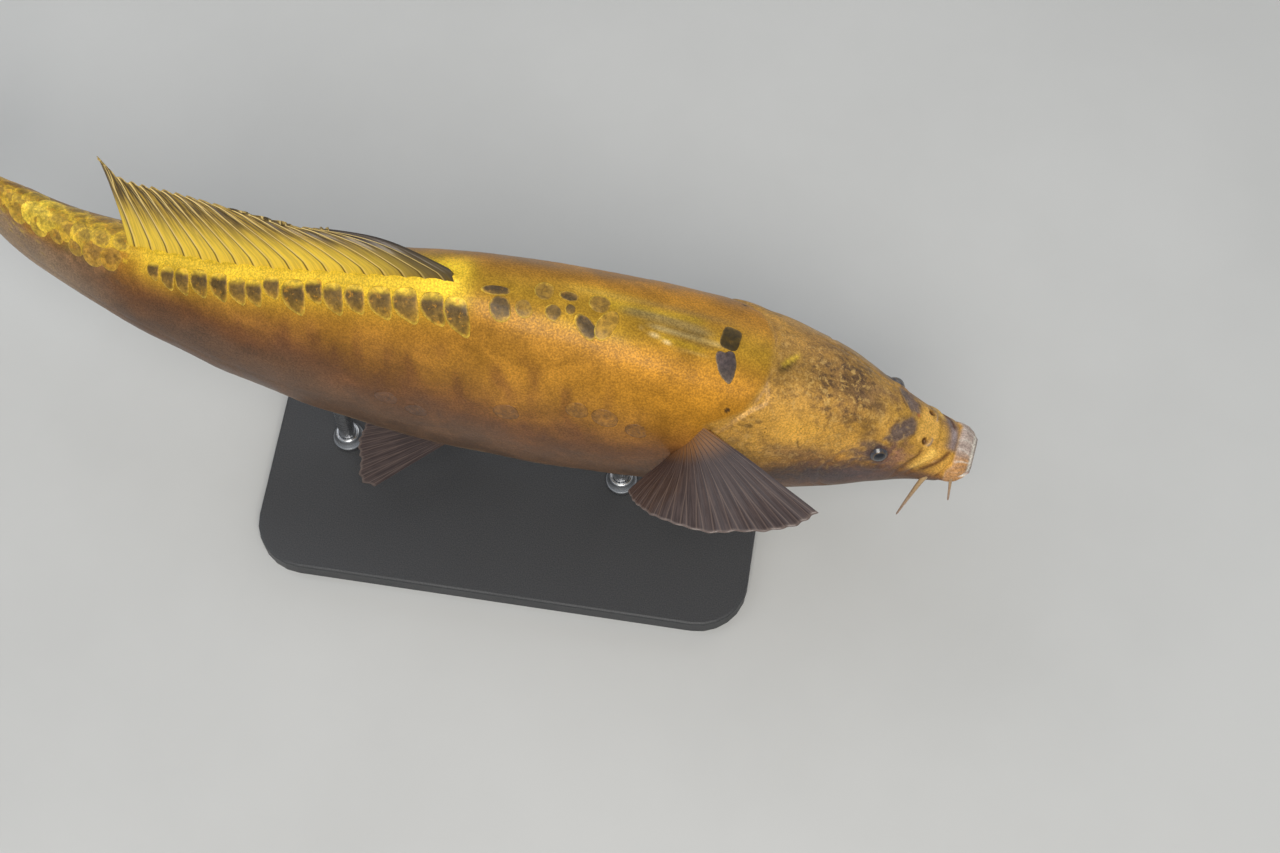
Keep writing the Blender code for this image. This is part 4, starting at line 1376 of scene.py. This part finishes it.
# ======== eyes and barbels
@dataclass
class Eye:
    """An eyeball with a slightly domed cornea, and the soft rim of skin that holds it."""

    side: Side
    share: float = 0.068
    back: float = 59.0
    radius: float = 0.0066
    proud: float = 0.002
    cornea: float = 0.0004
    lid_colour: Colour = (0.05, 0.042, 0.048)
    # radius and height over the skin of the rim's profile, in millimetres
    profile: tuple = ((4.1, -2.6), (4.45, -1.2), (4.75, -0.25), (5.1, 0.22), (5.6, 0.42), (6.3, 0.36),
                      (7.2, 0.16), (8.2, -0.1), (9, -0.55), (8.4, -1.6), (6.4, -2.6), (4.8, -3))

    def build_ball(self, material: bpy.types.Material) -> bpy.types.Object:
        """Makes a ball in polar rows about its look, whose front swells by a bell of the polar angle.

        Args:
            material: Its finish.

        Returns:
            The piece.
        """
        place = self.share, to_turn(self.back, self.side)
        look, along = BODY.normal(*place), unit(BODY.steps(*place)[0])
        centre = BODY.surface(*place) - (self.radius - self.proud) * look
        polar, turn = np.linspace(0.02, math.pi - 0.05, 40)[:, None], circle(64)[:, None]
        radius = self.radius + self.cornea * bell(polar, 0.55) - 0.00005
        ring = np.cos(turn) * along + np.sin(turn) * np.cross(look, along)
        ahead, out = radius * np.cos(polar), radius * np.sin(polar)
        points = centre + ahead[..., None] * look + out[..., None] * ring
        uv = stacked(np.arange(65) / 64, polar / math.pi)
        name = f"{self.side.word()}_eye"
        return build_piece(f"{name}ball", [SurfaceGrid(points, uv)], material, (name,))

    def build_rim(self, material: bpy.types.Material) -> bpy.types.Object:
        """Makes a soft ring: a low rounded profile from the ball out to where it sinks into the skin.

        Its points lie at radius and angle round the eye on the skin's own surface, raised by the profile.

        Args:
            material: Its finish.

        Returns:
            The piece.
        """
        reach, rise = (values[:, None] * MM for values in np.array(self.profile).T)
        turn = to_turn(self.back, self.side)
        per_share, per_degree = BODY.metres(self.share, turn)
        x, y = reach * np.cos(circle(96)), reach * np.sin(circle(96))
        sites = Sites(self.share + x / per_share, turn + y / per_degree)
        height = RELIEF.height(sites, with_eye=False) + rise
        points = sites.points + height[..., None] * sites.normals
        inside = smoothstep(5.6 * MM, 4.6 * MM, reach)[..., None]
        values = {"tint": mix(tint_of(sites) * 0.85, self.lid_colour, inside),
                  "traits": traits_of(sites) * (0.3, 0.4, 0.0)}
        grid = SurfaceGrid(points, values=values, ends=Ends.LOOP)
        return build_piece(f"{self.side.word()}_eye_rim", [grid], material)


@dataclass
class Barbel:
    """A feeler at the mouth: a round taper that bends down."""

    side: Side
    kind: str
    share: float
    back: float
    length: float
    radius: float
    way: tuple[float, float, float]
    tip: float = 0.0005
    buried: float = 0.003

    def build(self, material: bpy.types.Material) -> bpy.types.Object:
        """Carries a circle along a path that sags with the square of the way out.

        Args:
            material: Its finish.

        Returns:
            The piece.
        """
        turn, place = to_turn(self.back, self.side), np.linspace(0.0, 1.0, 44)[:, None]
        ahead, aside, up = self.way
        left = BODY.sideways(self.share)
        direction = unit(ahead * BODY.forwards(self.share) + self.side.value * aside * left + up * UP)
        path = BODY.surface(self.share, turn) - self.buried * BODY.normal(self.share, turn)
        path = path + (self.length + self.buried) * place * direction - 0.22 * self.length * place ** 2 * UP
        along = unit(np.gradient(path, axis=0))
        first = unit(np.cross(along, left))
        girth = mix(self.radius, self.tip, place ** 1.2)
        girth = girth * (1.0 + 0.5 * bell(place, 0.12)) * (1.0 + 0.03 * np.sin(place * 70.0))
        girth[-1] *= 0.55
        angle = circle(18)[:, None]
        ring = np.cos(angle) * first[:, None] + np.sin(angle) * np.cross(along, first)[:, None]
        grid = SurfaceGrid(path[:, None] + girth[..., None] * ring, stacked(np.linspace(0.0, 1.0, 19), place))
        name = f"{self.side.word()}_{self.kind}_barbel"
        return build_piece(f"{name}_fine", [grid], material, (name,))


# ======== fins
@dataclass
class Fin:
    """A ribbed fin: a middle sheet thickened along its rays, with a scalloped, slightly frayed edge."""

    node: str
    slot: str
    rays: int
    seed: int
    samples: int = 12
    rows: int = 44
    root_half: float = 0.0016
    web_half: float = 0.00018
    rib_half: float = 0.00042
    scallop: float = 0.035
    fray: float = 0.015
    pleat: float = 0.0004
    wave: float = 0.001

    def middle(self, across: Array, out: Array) -> Array:
        """Points of the middle sheet at a place across the rays and a place out along them."""
        raise NotImplementedError

    def edge(self, phase: Array) -> Array:
        """Reach of the web as a part of the rays' length: full at each ray, less between, uneven a little.

        Args:
            phase: Places across the fin, counted in rays.

        Returns:
            The reach.
        """
        random = np.random.default_rng(SEED * 100 + self.seed)
        wobble = np.interp(phase, np.arange(self.rays + 2), random.uniform(-1.0, 1.0, self.rays + 2))
        dip = 0.5 + 0.5 * np.cos(FULL_TURN * (phase - 0.5))
        free = falling(self.rays - 1.2, self.rays - 0.4, phase)
        return 1.0 - free * (self.scallop * dip + self.fray * (1.0 + wobble))

    def build(self, material: bpy.types.Material) -> bpy.types.Object:
        """Thickens the sheet to both sides by a rib at each ray, which forks towards the edge.

        Args:
            material: Its finish.

        Returns:
            The piece.
        """
        across = np.linspace(0.0, 1.0, self.rays * self.samples + 1)[None, :]
        place = np.linspace(0.0, 1.0, self.rows)[:, None]
        phase = across * self.rays
        out = place * mix(1.0, self.edge(phase), smoothstep(0.55, 1.0, place))
        middle = self.middle(np.broadcast_to(across, out.shape), out)
        normal = unit(np.cross(np.gradient(middle, axis=0), np.gradient(middle, axis=1)))
        off = np.abs(phase - np.floor(phase) - 0.5)
        rib = bell(off - 0.2 * smoothstep(0.45, 1.0, place), 0.1) * (1.0 - 0.72 * place)
        half = self.rib_half * rib + self.root_half * (1.0 - place) ** 2.6
        border = np.minimum(np.minimum(phase, self.rays - phase), 1.0)
        half = half + self.rib_half * 1.1 * bell(border, 0.3) * (1.0 - 0.6 * place)
        calm = 1.0 - smoothstep(self.rays - 1.6, self.rays - 0.8, phase) * smoothstep(0.6, 0.8, place)
        half = self.web_half + half * mix(0.35, 1.0, calm)
        fold = self.pleat * np.cos(FULL_TURN * (phase - 0.5)) * smoothstep(0.05, 0.5, place) * calm
        sway = self.wave * ripple(middle, 55.0, 40 + self.seed) * smoothstep(0.1, 0.8, place)
        middle = middle + (fold + sway)[..., None] * normal
        front, back = middle + half[..., None] * normal, middle - half[..., None] * normal
        count = np.concatenate((phase, phase[:, ::-1], phase[:, :1]), axis=1)
        points = np.concatenate((front, back[:, ::-1]), axis=1)
        grid = SurfaceGrid(points, stacked(count, place), ends=Ends.STRIP)
        return build_piece(f"{self.node}_fine", [grid], material, (self.node,))


@dataclass
class MedianFin(Fin):
    """A fin on the middle line: rays rise from it, bow backwards and lean to the left."""

    front: float = 0.482
    rear: float = 0.822
    # place across the fin, sweep backwards as a share, and height
    shape: tuple = ()
    sign: float = 1.0
    lean: float = 0.0
    root: float = 0.0045

    def middle(self, across: Array, out: Array) -> Array:
        """Rises from the ridge by height times 1 - (1 - out)^bow while it sweeps back.

        Args:
            across: Places across the rays.
            out: Places out along them.

        Returns:
            The middle sheet's points.
        """
        table = np.array(self.shape)
        sweep, height = (through(table[:, (0, c)], across) for c in (1, 2))
        share = mix(self.front, self.rear, across) + sweep * out
        rise = height * (1.0 - (1.0 - out) ** (1.7 - 0.35 * across)) - self.root * falling(0.0, 0.1, out)
        ridge = BODY.surface(share, 90.0 * self.sign)[..., 2] - BODY.spine_height
        lean = math.radians(self.lean)
        way = self.sign * math.cos(lean) * UP + math.sin(lean) * BODY.sideways(share)
        return BODY.spine(share) + ridge[..., None] * UP + rise[..., None] * way


@dataclass
class PairedFin(Fin):
    """A fin beside the body: rays fan from a short root line and cup downwards."""

    side: Side = RIGHT
    # each a first and a last ray's value; a way is forwards, outwards and up
    shares: tuple[float, float] = (0.0, 0.0)
    backs: tuple[float, float] = (0.0, 0.0)
    ways: tuple = ()
    lengths: tuple[float, float] = (0.0, 0.0)
    fall: float = 1.7
    cup: float = 0.006
    root: float = 0.0045

    def middle(self, across: Array, out: Array) -> Array:
        """Runs from the root line outwards along rays whose way turns from the first to the last.

        Args:
            across: Places across the rays.
            out: Places out along them.

        Returns:
            The middle sheet's points.
        """
        share, turn = mix(*self.shares, across), to_turn(mix(*self.backs, across), self.side)
        root = BODY.surface(share, turn) - self.root * BODY.normal(share, turn)
        way = unit(mix(*np.array(self.ways), across[..., None]))
        ray = (way[..., :1] * BODY.forwards(share) + self.side.value * way[..., 1:2] * BODY.sideways(share)
               + way[..., 2:] * UP)
        rounding = 0.94 + 0.06 * np.sin(math.pi * np.clip(across / 0.35, 0.0, 1.0))
        length = mix(*self.lengths, across ** self.fall) * rounding + self.root
        drop = self.cup * length / max(self.lengths) * out ** 2
        return root + (length * out)[..., None] * ray - drop[..., None] * (UP + 0.3 * BODY.forwards(share))


@dataclass
class TailLobe(Fin):
    """One lobe of the tail fin, from the fork's middle ray to the outermost ray."""

    sign: float = 1.0
    spread: float = 37.0
    lengths: tuple[float, float] = (0.058, 0.122)
    root_share: float = 0.992
    middle_height: float = 0.0035
    half_root: float = 0.046

    def middle(self, across: Array, out: Array) -> Array:
        """Fans rays up or down from the end of the stalk, which grow longer outwards.

        Args:
            across: Places across the rays.
            out: Places out along them.

        Returns:
            The middle sheet's points.
        """
        angle = math.radians(self.spread) * across ** 0.9
        rounding = 1.0 - 0.05 * np.clip((across - 0.8) / 0.2, 0.0, 1.0) ** 2
        reach = mix(*self.lengths, across ** 1.15) * rounding * out
        share = self.root_share + reach * np.cos(angle) / BODY.length
        rise = 0.0002 + self.half_root * BODY.length * across + reach * np.sin(angle)
        return BODY.spine(share) + (self.middle_height * BODY.length + self.sign * rise)[..., None] * UP


# ======== scales
class Outline(Enum):
    """Outlines of scales: degrees from the tail side towards the belly, and radius as a part of its size."""

    TOOTH = ((0, 1.08), (30, 0.96), (62, 0.88), (88, 0.98), (106, 1.2), (120, 1.22), (136, 0.98), (160, 0.76),
             (195, 0.72), (226, 0.94), (270, 0.9), (316, 1.16), (344, 1.16))
    ROUND = ((0, 1), (60, 1), (130, 0.95), (180, 0.78), (230, 0.95), (300, 1))
    SQUARE = ((0, 0.88), (45, 1.12), (90, 0.9), (135, 1.1), (180, 0.88), (225, 1.12), (270, 0.92),
              (315, 1.12))
    DROP = ((0, 0.75), (40, 0.8), (75, 0.98), (95, 1.22), (115, 1.02), (150, 0.82), (200, 0.92), (228, 1.08),
            (270, 0.72), (312, 1.05), (335, 0.92))

    def radius(self, angle: Array) -> Array:
        """The knots joined round by lines, and softened by dropping fine waves.

        Args:
            angle: Angles in radians.

        Returns:
            Radii there.
        """
        fine = np.arange(0.0, 360.0, 3.0)
        waves = np.fft.rfft(np.interp(fine, *np.array(self.value, float).T, period=360.0))
        waves[13:] = 0.0
        return np.interp(np.degrees(angle), fine, np.fft.irfft(waves, len(fine)), period=360.0)


@dataclass(frozen=True)
class ScalePlan:
    """Where one scale sits and how it looks.

    Along and around are half sizes in millimetres, tilt turns it in degrees, lift is how far its free
    edge stands off the skin and dome how far its middle does, in millimetres. Heart, body and rim are its
    colours from the middle out, tone how much gold fleck it has, core how far the heart reaches and bury
    how strongly its upper edge melts into the lemon of the back.
    """

    share: float
    back: float
    along: float
    around: float
    side: Side
    heart: Colour
    body: Colour
    rim: Colour
    tilt: float
    tone: float
    core: float
    lift: float = 0.3
    dome: float = 0.3
    outline: Outline = Outline.ROUND
    bury: float = 0.0


def tint_at(share: float, back: float, side: Side) -> Array:
    """The skin's colour at one place."""
    return tint_of(Sites([share], [to_turn(back, side)]))[0]


@dataclass
class ScaleCoat:
    """Groups of scales over the skin, each a thin closed dish that tucks under at the head side."""

    rings: int = 12
    segments: int = 36
    # share, back angle, half size along and half size around of the row
    row: tuple = (
        (0.479, 22.5, 6, 11), (0.502, 20.5, 6, 9.2), (0.528, 20, 6.3, 10), (0.553, 20, 6, 9.2),
        (0.578, 19.5, 5.2, 8.2), (0.599, 20.5, 5.2, 9), (0.619, 17.5, 4.6, 6.8), (0.638, 22.5, 6.2, 10),
        (0.662, 18.5, 4.4, 6.4), (0.679, 24, 4.6, 7.6), (0.696, 24.5, 4.8, 7.8), (0.716, 24, 5, 8.2),
        (0.737, 24.5, 4.8, 8), (0.755, 26.5, 3.9, 7.6), (0.771, 27, 3.9, 6.8), (0.788, 25, 3.4, 5.2))
    # share, back angle, half sizes, tilt and darkness of the odd scales on each side
    strays: dict = field(default_factory=lambda: {
        RIGHT: ((0.441, 14.5, 6.4, 7, 12, 0.9), (0.42, 11, 5, 5, 30, 0.3), (0.393, 9.5, 4.8, 4.4, -35, 0.75),
                (0.378, 5, 3, 3, 0, 0.8), (0.361, 13.5, 8.6, 4.6, -42, 1), (0.343, 9, 5.4, 9.5, -25, 0.1),
                (0.447, 3.5, 8.6, 2.8, 8, 1)),
        LEFT: ((0.404, 4, 5.6, 5.6, 0, 0.35), (0.381, 4, 5.8, 3, 0, 0.9), (0.352, 3.5, 6.4, 5.2, 0, 0.45))})
    # the dark patch on each side of the nape
    nape: tuple = (
        ScalePlan(0.2285, 3.5, 5.8, 7, LEFT, (0.06, 0.036, 0.004), (0.09, 0.055, 0.01), (0.24, 0.15, 0.04),
                  8, 0.1, 0.95, 0.18, 0.15, Outline.SQUARE),
        ScalePlan(0.229, 13, 6.6, 8.6, RIGHT, (0.085, 0.06, 0.058), (0.12, 0.085, 0.05), (0.4, 0.27, 0.13),
                  14, 0.15, 0.93, 0.18, 0.15, Outline.DROP))
    # share of the scales sunk in the flanks
    sunk: tuple = (0.305, 0.335, 0.362, 0.43, 0.52, 0.548)
    heart: Colour = (0.175, 0.098, 0.018)
    grey: Colour = (0.105, 0.062, 0.02)
    gold: Colour = (0.48, 0.265, 0.028)
    rim: Colour = (0.84, 0.56, 0.055)
    net_heart: Colour = (0.36, 0.215, 0.026)
    net_body: Colour = (0.64, 0.4, 0.03)
    net_rim: Colour = (0.98, 0.68, 0.045)

    def dishes(self, plans: list[ScalePlan], patch: float) -> list[SurfaceGrid]:
        """Scales: rings from the middle out to the edge, then back under it to a lower middle.

        The edge follows the outline. Height over the skin is a low dome plus a lift that grows towards the
        tail side. The bake map holds each scale as a small disc at its place on the unrolled skin, with
        its underside in a thin ring round it.

        Args:
            plans: The scales of one group.
            patch: Width of a scale's disc in the bake map.

        Returns:
            One closed grid for each scale.
        """
        def each(name: str) -> Array:
            """A number or a colour of every plan, shaped to meet rings and segments."""
            return np.array([getattr(plan, name) for plan in plans], float)[:, None, None]

        ring, angle = np.arange(self.rings + 3)[:, None], circle(self.segments)
        under = ring >= self.rings
        radius = np.concatenate((np.linspace(0.05, 1.0, self.rings) ** 0.85, (1.0, 0.5, 0.1)))[:, None]
        reach = radius * np.stack([plan.outline.radius(angle) for plan in plans])[:, None] * MM
        x, y = turned(reach * np.cos(angle) * each("along"), reach * np.sin(angle) * each("around"),
                      each("tilt"))
        side = np.array([plan.side.value for plan in plans])[:, None, None]
        share, turn = each("share"), 90.0 - side * each("back")
        per_share, per_degree = BODY.metres(share, turn)
        sites = Sites(share + x / per_share, turn - side * y / per_degree)
        free = mix(0.35, 1.0, np.clip(np.cos(angle), -0.6, 1.0))
        height = each("dome") * (1.0 - radius ** 2) + each("lift") * free * radius ** 2 + 0.1
        height = np.where(under, -0.7, height) - 0.05 * ((radius > 0.99) & ~under)
        points = sites.points + (RELIEF.height(sites) + height * MM)[..., None] * sites.normals
        rough = radius + 0.1 * ripple(sites.points, 4.5, 21) + 0.1 * np.sin(angle)
        core = falling(-0.12, 0.1, rough - each("core"))[..., None]
        heart, body, rim = (each(key) for key in ("heart", "body", "rim"))
        lower = 0.42 * smoothstep(-0.1, 0.9, np.sin(angle) * radius)[..., None]
        edge = smoothstep(0.9, 0.97, radius) * mix(0.15, 1.0, smoothstep(-0.5, 0.5, np.cos(angle - 0.9)))
        bury = each("bury") * smoothstep(0.25, 0.8, -np.sin(angle) * radius)
        tint = mix(mix(body, mix(heart, body, lower), core), rim, edge[..., None])
        tint = mix(tint, HUE.lemon, bury[..., None])
        traits = stacked(radius, angle, each("tone"))
        wide = np.arange(self.segments + 1) * FULL_TURN / self.segments
        spread = np.where(under, 0.94 + 0.03 * (ring - self.rings), radius * 0.9)
        disc = 0.5 * patch * spread[..., None] * stacked(np.cos(wide), np.sin(wide))
        uv = unrolled(share, turn) + disc
        return [SurfaceGrid(points[i], uv[i], {"tint": tint[i], "traits": traits[i]})
                for i in range(len(plans))]

    def dice(self, group: int, side: Side) -> np.random.Generator:
        """Random numbers of a group of scales on one side."""
        return np.random.default_rng(SEED + group + (side is LEFT))

    def row_plans(self, side: Side) -> list[ScalePlan]:
        """The row of mirror scales under the back fin; the left side's starts later and is a little uneven.

        Args:
            side: The side of the fish.

        Returns:
            The scales from front to rear.
        """
        random = self.dice(1, side)
        plans = []
        for share, back, along, around in self.row:
            shift = random.uniform(-1.0, 1.0, 3)
            heart = tuple(np.array(self.heart) * random.uniform(0.6, 1.25))
            if side is LEFT:
                if share < 0.55:
                    continue
                share += 0.005 * shift[0]
                back += 1.5 * shift[1]
                around *= 1.0 + 0.1 * shift[2]
            plans.append(ScalePlan(share, back, 1.18 * along, around, side, heart, self.gold, self.rim, 12.0,
                                   random.uniform(0.3, 1.0), 0.88, outline=Outline.TOOTH, bury=0.9))
        return plans

    def stray_plans(self, side: Side) -> list[ScalePlan]:
        """Odd scales between the nape and the back fin, and the dark patch on the nape.

        Args:
            side: The side of the fish.

        Returns:
            The scales.
        """
        plans = []
        for share, back, along, around, tilt, dark in self.strays[side]:
            heart = tuple(mix(np.array(self.gold), np.array(self.grey), dark))
            plans.append(ScalePlan(share, back, along, around, side, heart, self.gold, self.rim, tilt, 0.3,
                                   0.86, 0.26, 0.22))
        return plans + [plan for plan in self.nape if plan.side is side]

    def net_plans(self, side: Side) -> list[ScalePlan]:
        """Large uneven scales over the top of the tail stalk, outlined in bright yellow, fewer lower down.

        Args:
            side: The side of the fish.

        Returns:
            The scales.
        """
        random = self.dice(3, side)
        plans = []
        for row in range(4):
            for i in range(8):
                share = 0.836 + 0.0225 * (i + 0.5 * (row % 2)) + random.uniform(-0.006, 0.006)
                back = 4.0 + 12.0 * row + random.uniform(-4.5, 4.5)
                size, fade = random.uniform(0.7, 1.3), smoothstep(0.5, 3.6, row)
                if share > 0.99 or random.random() < fade:
                    continue
                under = tint_at(share, back, side)
                heart = np.array(self.net_heart) * random.uniform(0.75, 1.35)
                melt = max(0.35 + 0.55 * fade, TAIL_BLOT.weight(Sites([share], [to_turn(back, side)]))[0])
                paints = ((heart, 0.8), (np.array(self.net_body), 1.1), (np.array(self.net_rim), 1.25))
                colours = [tuple(mix(paint, under * shade, melt)) for paint, shade in paints]
                around = 6.2 * size * random.uniform(0.8, 1.15)
                tilt, tone, core = random.uniform((-40.0, 0.5, 0.5), (40.0, 1.0, 0.75))
                plans.append(ScalePlan(share, back, 6.6 * size, around, side, *colours, tilt, tone, core,
                                       0.16, 0.14))
        return plans

    def flank_plans(self, side: Side) -> list[ScalePlan]:
        """A few large thin scales sunk in the skin along the sense line, barely outlined.

        Args:
            side: The side of the fish.

        Returns:
            The scales.
        """
        random = self.dice(5, side)
        plans = []
        for share in self.sunk:
            back = 60.0 + 20.0 * min(max((share - 0.33) / 0.2, 0.0), 1.0) + random.uniform(-5.0, 5.0)
            size = random.uniform(0.8, 1.1)
            colours = [tuple(tint_at(share, back, side) * shade) for shade in (0.84, 0.8, 0.52)]
            plans.append(ScalePlan(share, back, 8.0 * size, 6.6 * size, side, *colours,
                                   random.uniform(-15.0, 15.0), 0.1, 0.7, 0.06, 0.02))
        return plans

    def build(self) -> None:
        """Makes the four groups of scales on both sides."""
        material = ScaleFinish().make()
        groups = (("mirror_scale_row", self.row_plans, 0.014), ("back_scales", self.stray_plans, 0.01),
                  ("tail_stalk_scales", self.net_plans, 0.008), ("flank_scales", self.flank_plans, 0.012))
        for name, plans, patch in groups:
            for side in (LEFT, RIGHT):
                build_piece(f"{name}_{side.word()}", self.dishes(plans(side), patch), material,
                            uv_name="OFBake")


# ======== stand, floor, light and camera
@dataclass
class Stand:
    """The display stand: its solids keep their shape, and each rod gets a turned collar."""

    bore: float = 0.0051
    radius: float = 0.0095
    height: float = 0.009

    def build(self) -> None:
        """Dresses the plate and the rods and adds the collars."""
        plate, steel = PlateFinish().make(), SteelFinish().make()
        rods = ("stand_rod_front", "stand_rod_rear")
        for node in ("stand_base", *rods):
            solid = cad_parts[node]
            solid.data.materials.clear()
            solid.data.materials.append(steel if node in rods else plate)
        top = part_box("stand_base")[1].z
        for node in rods:
            self.build_collar(node, top, steel)

    def build_collar(self, node: str, floor: float, material: bpy.types.Material) -> bpy.types.Object:
        """Makes a ring round a rod: a closed profile with rounded top edges, turned about the rod's axis.

        Args:
            node: The rod.
            floor: Height of the plate's top.
            material: Its finish.

        Returns:
            The piece.
        """
        low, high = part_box(node)
        inner, outer, rise = self.bore, self.radius, self.height
        # radius and height of the turned profile
        profile = ((inner, 0), (outer, 0), (outer, rise * 0.25), (outer - 0.0004, rise * 0.3),
                   (outer - 0.001, rise * 0.34), (outer - 0.0022, rise * 0.9), (outer - 0.0027, rise * 0.98),
                   (outer - 0.0034, rise), (inner + 0.0003, rise), (inner, rise * 0.97))
        radius, height = (values[:, None] for values in np.array(profile).T)
        angle, centre = circle(64), (low + high) / 2.0
        points = stacked(centre.x + radius * np.cos(angle), centre.y + radius * np.sin(angle),
                         floor + 0.0002 + height)
        return build_piece(node.replace("rod", "collar"), [SurfaceGrid(points, ends=Ends.LOOP)], material)


@dataclass
class Studio:
    """Floor, soft lights and camera."""

    half_floor: float = 4.0
    lens: float = 63.4
    target: tuple = (0.0805, -0.0292, 0.165)
    azimuth: float = 8.89
    elevation: float = 66.1
    distance: float = 1.2286
    # name, place, what it points at, size, power and colour
    lamps: tuple = (("key", (0.25, -0.95, 1.6), (0, 0, 0.16), 0.9, 20, (1, 0.97, 0.91)),
                    ("fill", (-0.9, 0.2, 1.6), (-0.1, 0, 0.16), 1.6, 10, (0.93, 0.96, 1)),
                    ("rim", (0.9, 1.3, 0.9), (0, 0, 0.18), 1.2, 4, (1, 0.98, 0.95)))
    sky: tuple = (0.9, 0.95, 1.0, 1.0)
    sky_strength: float = 0.32

    @staticmethod
    def aim(thing: bpy.types.Object, place: Vector, back: Vector) -> None:
        """Puts a lamp or the camera at a place, looking against a direction."""
        thing.location = place
        thing.rotation_euler = (-back).to_track_quat("-Z", "Y").to_euler()

    def build_floor(self) -> None:
        """Makes a large pale square under the stand."""
        mesh = bpy.data.meshes.new("floor")
        far = self.half_floor
        corners = [(x * far, y * far, 0.0) for x, y in ((-1, -1), (1, -1), (1, 1), (-1, 1))]
        mesh.from_pydata(corners, [], [(0, 1, 2, 3)])
        mesh.materials.append(FloorFinish().make())
        floor = place_object("floor", mesh)

    def build_lights(self) -> None:
        """Makes square soft lights and an even, pale surrounding."""
        for name, place, target, size, power, colour in self.lamps:
            lamp = bpy.data.lights.new(name, "AREA")
            lamp.size, lamp.energy, lamp.color = size, power, colour
            self.aim(place_object(name, lamp), Vector(place), Vector(place) - Vector(target))
        world = bpy.data.worlds.new("studio")
        world.use_nodes = True
        background = world.node_tree.nodes["Background"]
        background.inputs["Color"].default_value = self.sky
        background.inputs["Strength"].default_value = self.sky_strength
        bpy.context.scene.world = world

    def build_camera(self) -> None:
        """Makes the camera, above the fish's right side and close to overhead."""
        a, e = math.radians(self.azimuth), math.radians(self.elevation)
        back = Vector((math.sin(a) * math.cos(e), -math.cos(a) * math.cos(e), math.sin(e)))
        camera = bpy.data.cameras.new("camera")
        camera.lens, camera.sensor_width = self.lens, 36.0
        thing = place_object("camera", camera)
        self.aim(thing, Vector(self.target) + back * self.distance, back)
        bpy.context.scene.camera = thing

    def build(self) -> None:
        """Sets up the floor, the lights, the surrounding and the camera."""
        bpy.context.scene.view_settings.view_transform = "Standard"
        self.build_floor()
        self.build_lights()
        self.build_camera()


# ======== the whole
GOLDEN_FIN = FinFinish("golden fin", web=(0.58, 0.37, 0.06), streak=(0.2, 0.125, 0.035),
                       light=(0.9, 0.66, 0.24), dark=(0.06, 0.037, 0.014), root=(1.0, 0.68, 0.05),
                       edge=(0.64, 0.43, 0.11), root_reach=0.56, dusk=0.85, lead_reach=6.0)
TAIL_FIN = FinFinish("tail fin", web=(0.4, 0.25, 0.06), streak=(0.26, 0.17, 0.07),
                     light=(0.72, 0.54, 0.24), dark=(0.11, 0.075, 0.04), root=(0.48, 0.29, 0.04),
                     edge=(0.46, 0.33, 0.15), root_reach=0.3)
# painted shade: the paired fins' web is a near-black brown, as fins lying in shadow beside and under the body
BROWN_FIN = FinFinish("brown fin", web=(0.044, 0.028, 0.026), streak=(0.078, 0.052, 0.047),
                      light=(0.12, 0.082, 0.068), dark=(0.026, 0.017, 0.018), root=(0.26, 0.12, 0.04),
                      edge=(0.19, 0.14, 0.12), root_reach=0.34, metal=0.05)
DORSAL_SHAPE = ((0, 0.129, 0.03), (0.19, 0.094, 0.0312), (0.42, 0.093, 0.0413), (0.66, 0.072, 0.0462),
                (0.88, 0.044, 0.0482), (1, 0.03, 0.06))
ANAL_SHAPE = ((0, 0.078, 0.045), (0.35, 0.07, 0.04), (0.7, 0.052, 0.03), (1, 0.036, 0.02))
PECTORAL_WAYS = {RIGHT: ((0.84, 0.52, 0.16), (-0.6, 0.77, 0.2)),
                 LEFT: ((0.2, 0.45, -0.87), (-0.62, 0.42, -0.5))}


def build_fins() -> None:
    """Makes every fin with its finish."""
    gold, lobe, dusk = (finish.make() for finish in (GOLDEN_FIN, TAIL_FIN, BROWN_FIN))
    MedianFin("dorsal_fin", "golden_fin", 18, 1, rows=56, root_half=0.0018, pleat=0.0006, scallop=0.05,
              shape=DORSAL_SHAPE, lean=15.0).build(gold)
    MedianFin("anal_fin", "brown_fin", 8, 2, front=0.765, rear=0.83, sign=-1.0, shape=ANAL_SHAPE).build(lobe)
    for name, seed, sign in (("upper", 4, 1.0), ("lower", 3, -1.0)):
        TailLobe(f"tail_fin_{name}_lobe", "golden_fin", 10, seed, samples=14, rows=52, sign=sign).build(lobe)
    for side in (LEFT, RIGHT):
        PairedFin(f"{side.word()}_pectoral_fin", "brown_fin", 16, 5, side=side, shares=(0.246, 0.262),
                  backs=(55.0, 77.0), ways=PECTORAL_WAYS[side], lengths=(0.086, 0.036), fall=0.9,
                  pleat=0.00012, rib_half=0.00026, scallop=0.012, fray=0.008, wave=0.0014).build(dusk)
        PairedFin(f"{side.word()}_pelvic_fin", "brown_fin", 9, 6, side=side, shares=(0.487, 0.512),
                  backs=(156.0, 164.0), ways=((-0.7, 0.34, -0.5), (-0.96, 0.06, -0.16)),
                  lengths=(0.072, 0.046), pleat=0.00015, rib_half=0.00026, scallop=0.015).build(dusk)


def main() -> None:
    """Builds every piece in order."""
    logging.basicConfig(level=logging.INFO, format="%(message)s")
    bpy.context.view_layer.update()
    skin = Skin().build()
    eye_finish, feeler = EyeFinish().make(), FeelerFinish().make()
    for side in (LEFT, RIGHT):
        eye = Eye(side)
        eye.build_ball(eye_finish)
        eye.build_rim(skin.data.materials[0])
        Barbel(side, "front", -0.004, 56.0, 0.016, 0.0011, (0.1, 0.42, -0.62)).build(feeler)
        Barbel(side, "rear", 0.018, 88.0, 0.03, 0.0016, (-0.3, 0.4, -0.8)).build(feeler)
    build_fins()
    ScaleCoat().build()
    Stand().build()
    Studio().build()


if __name__ == "__main__":
    main()
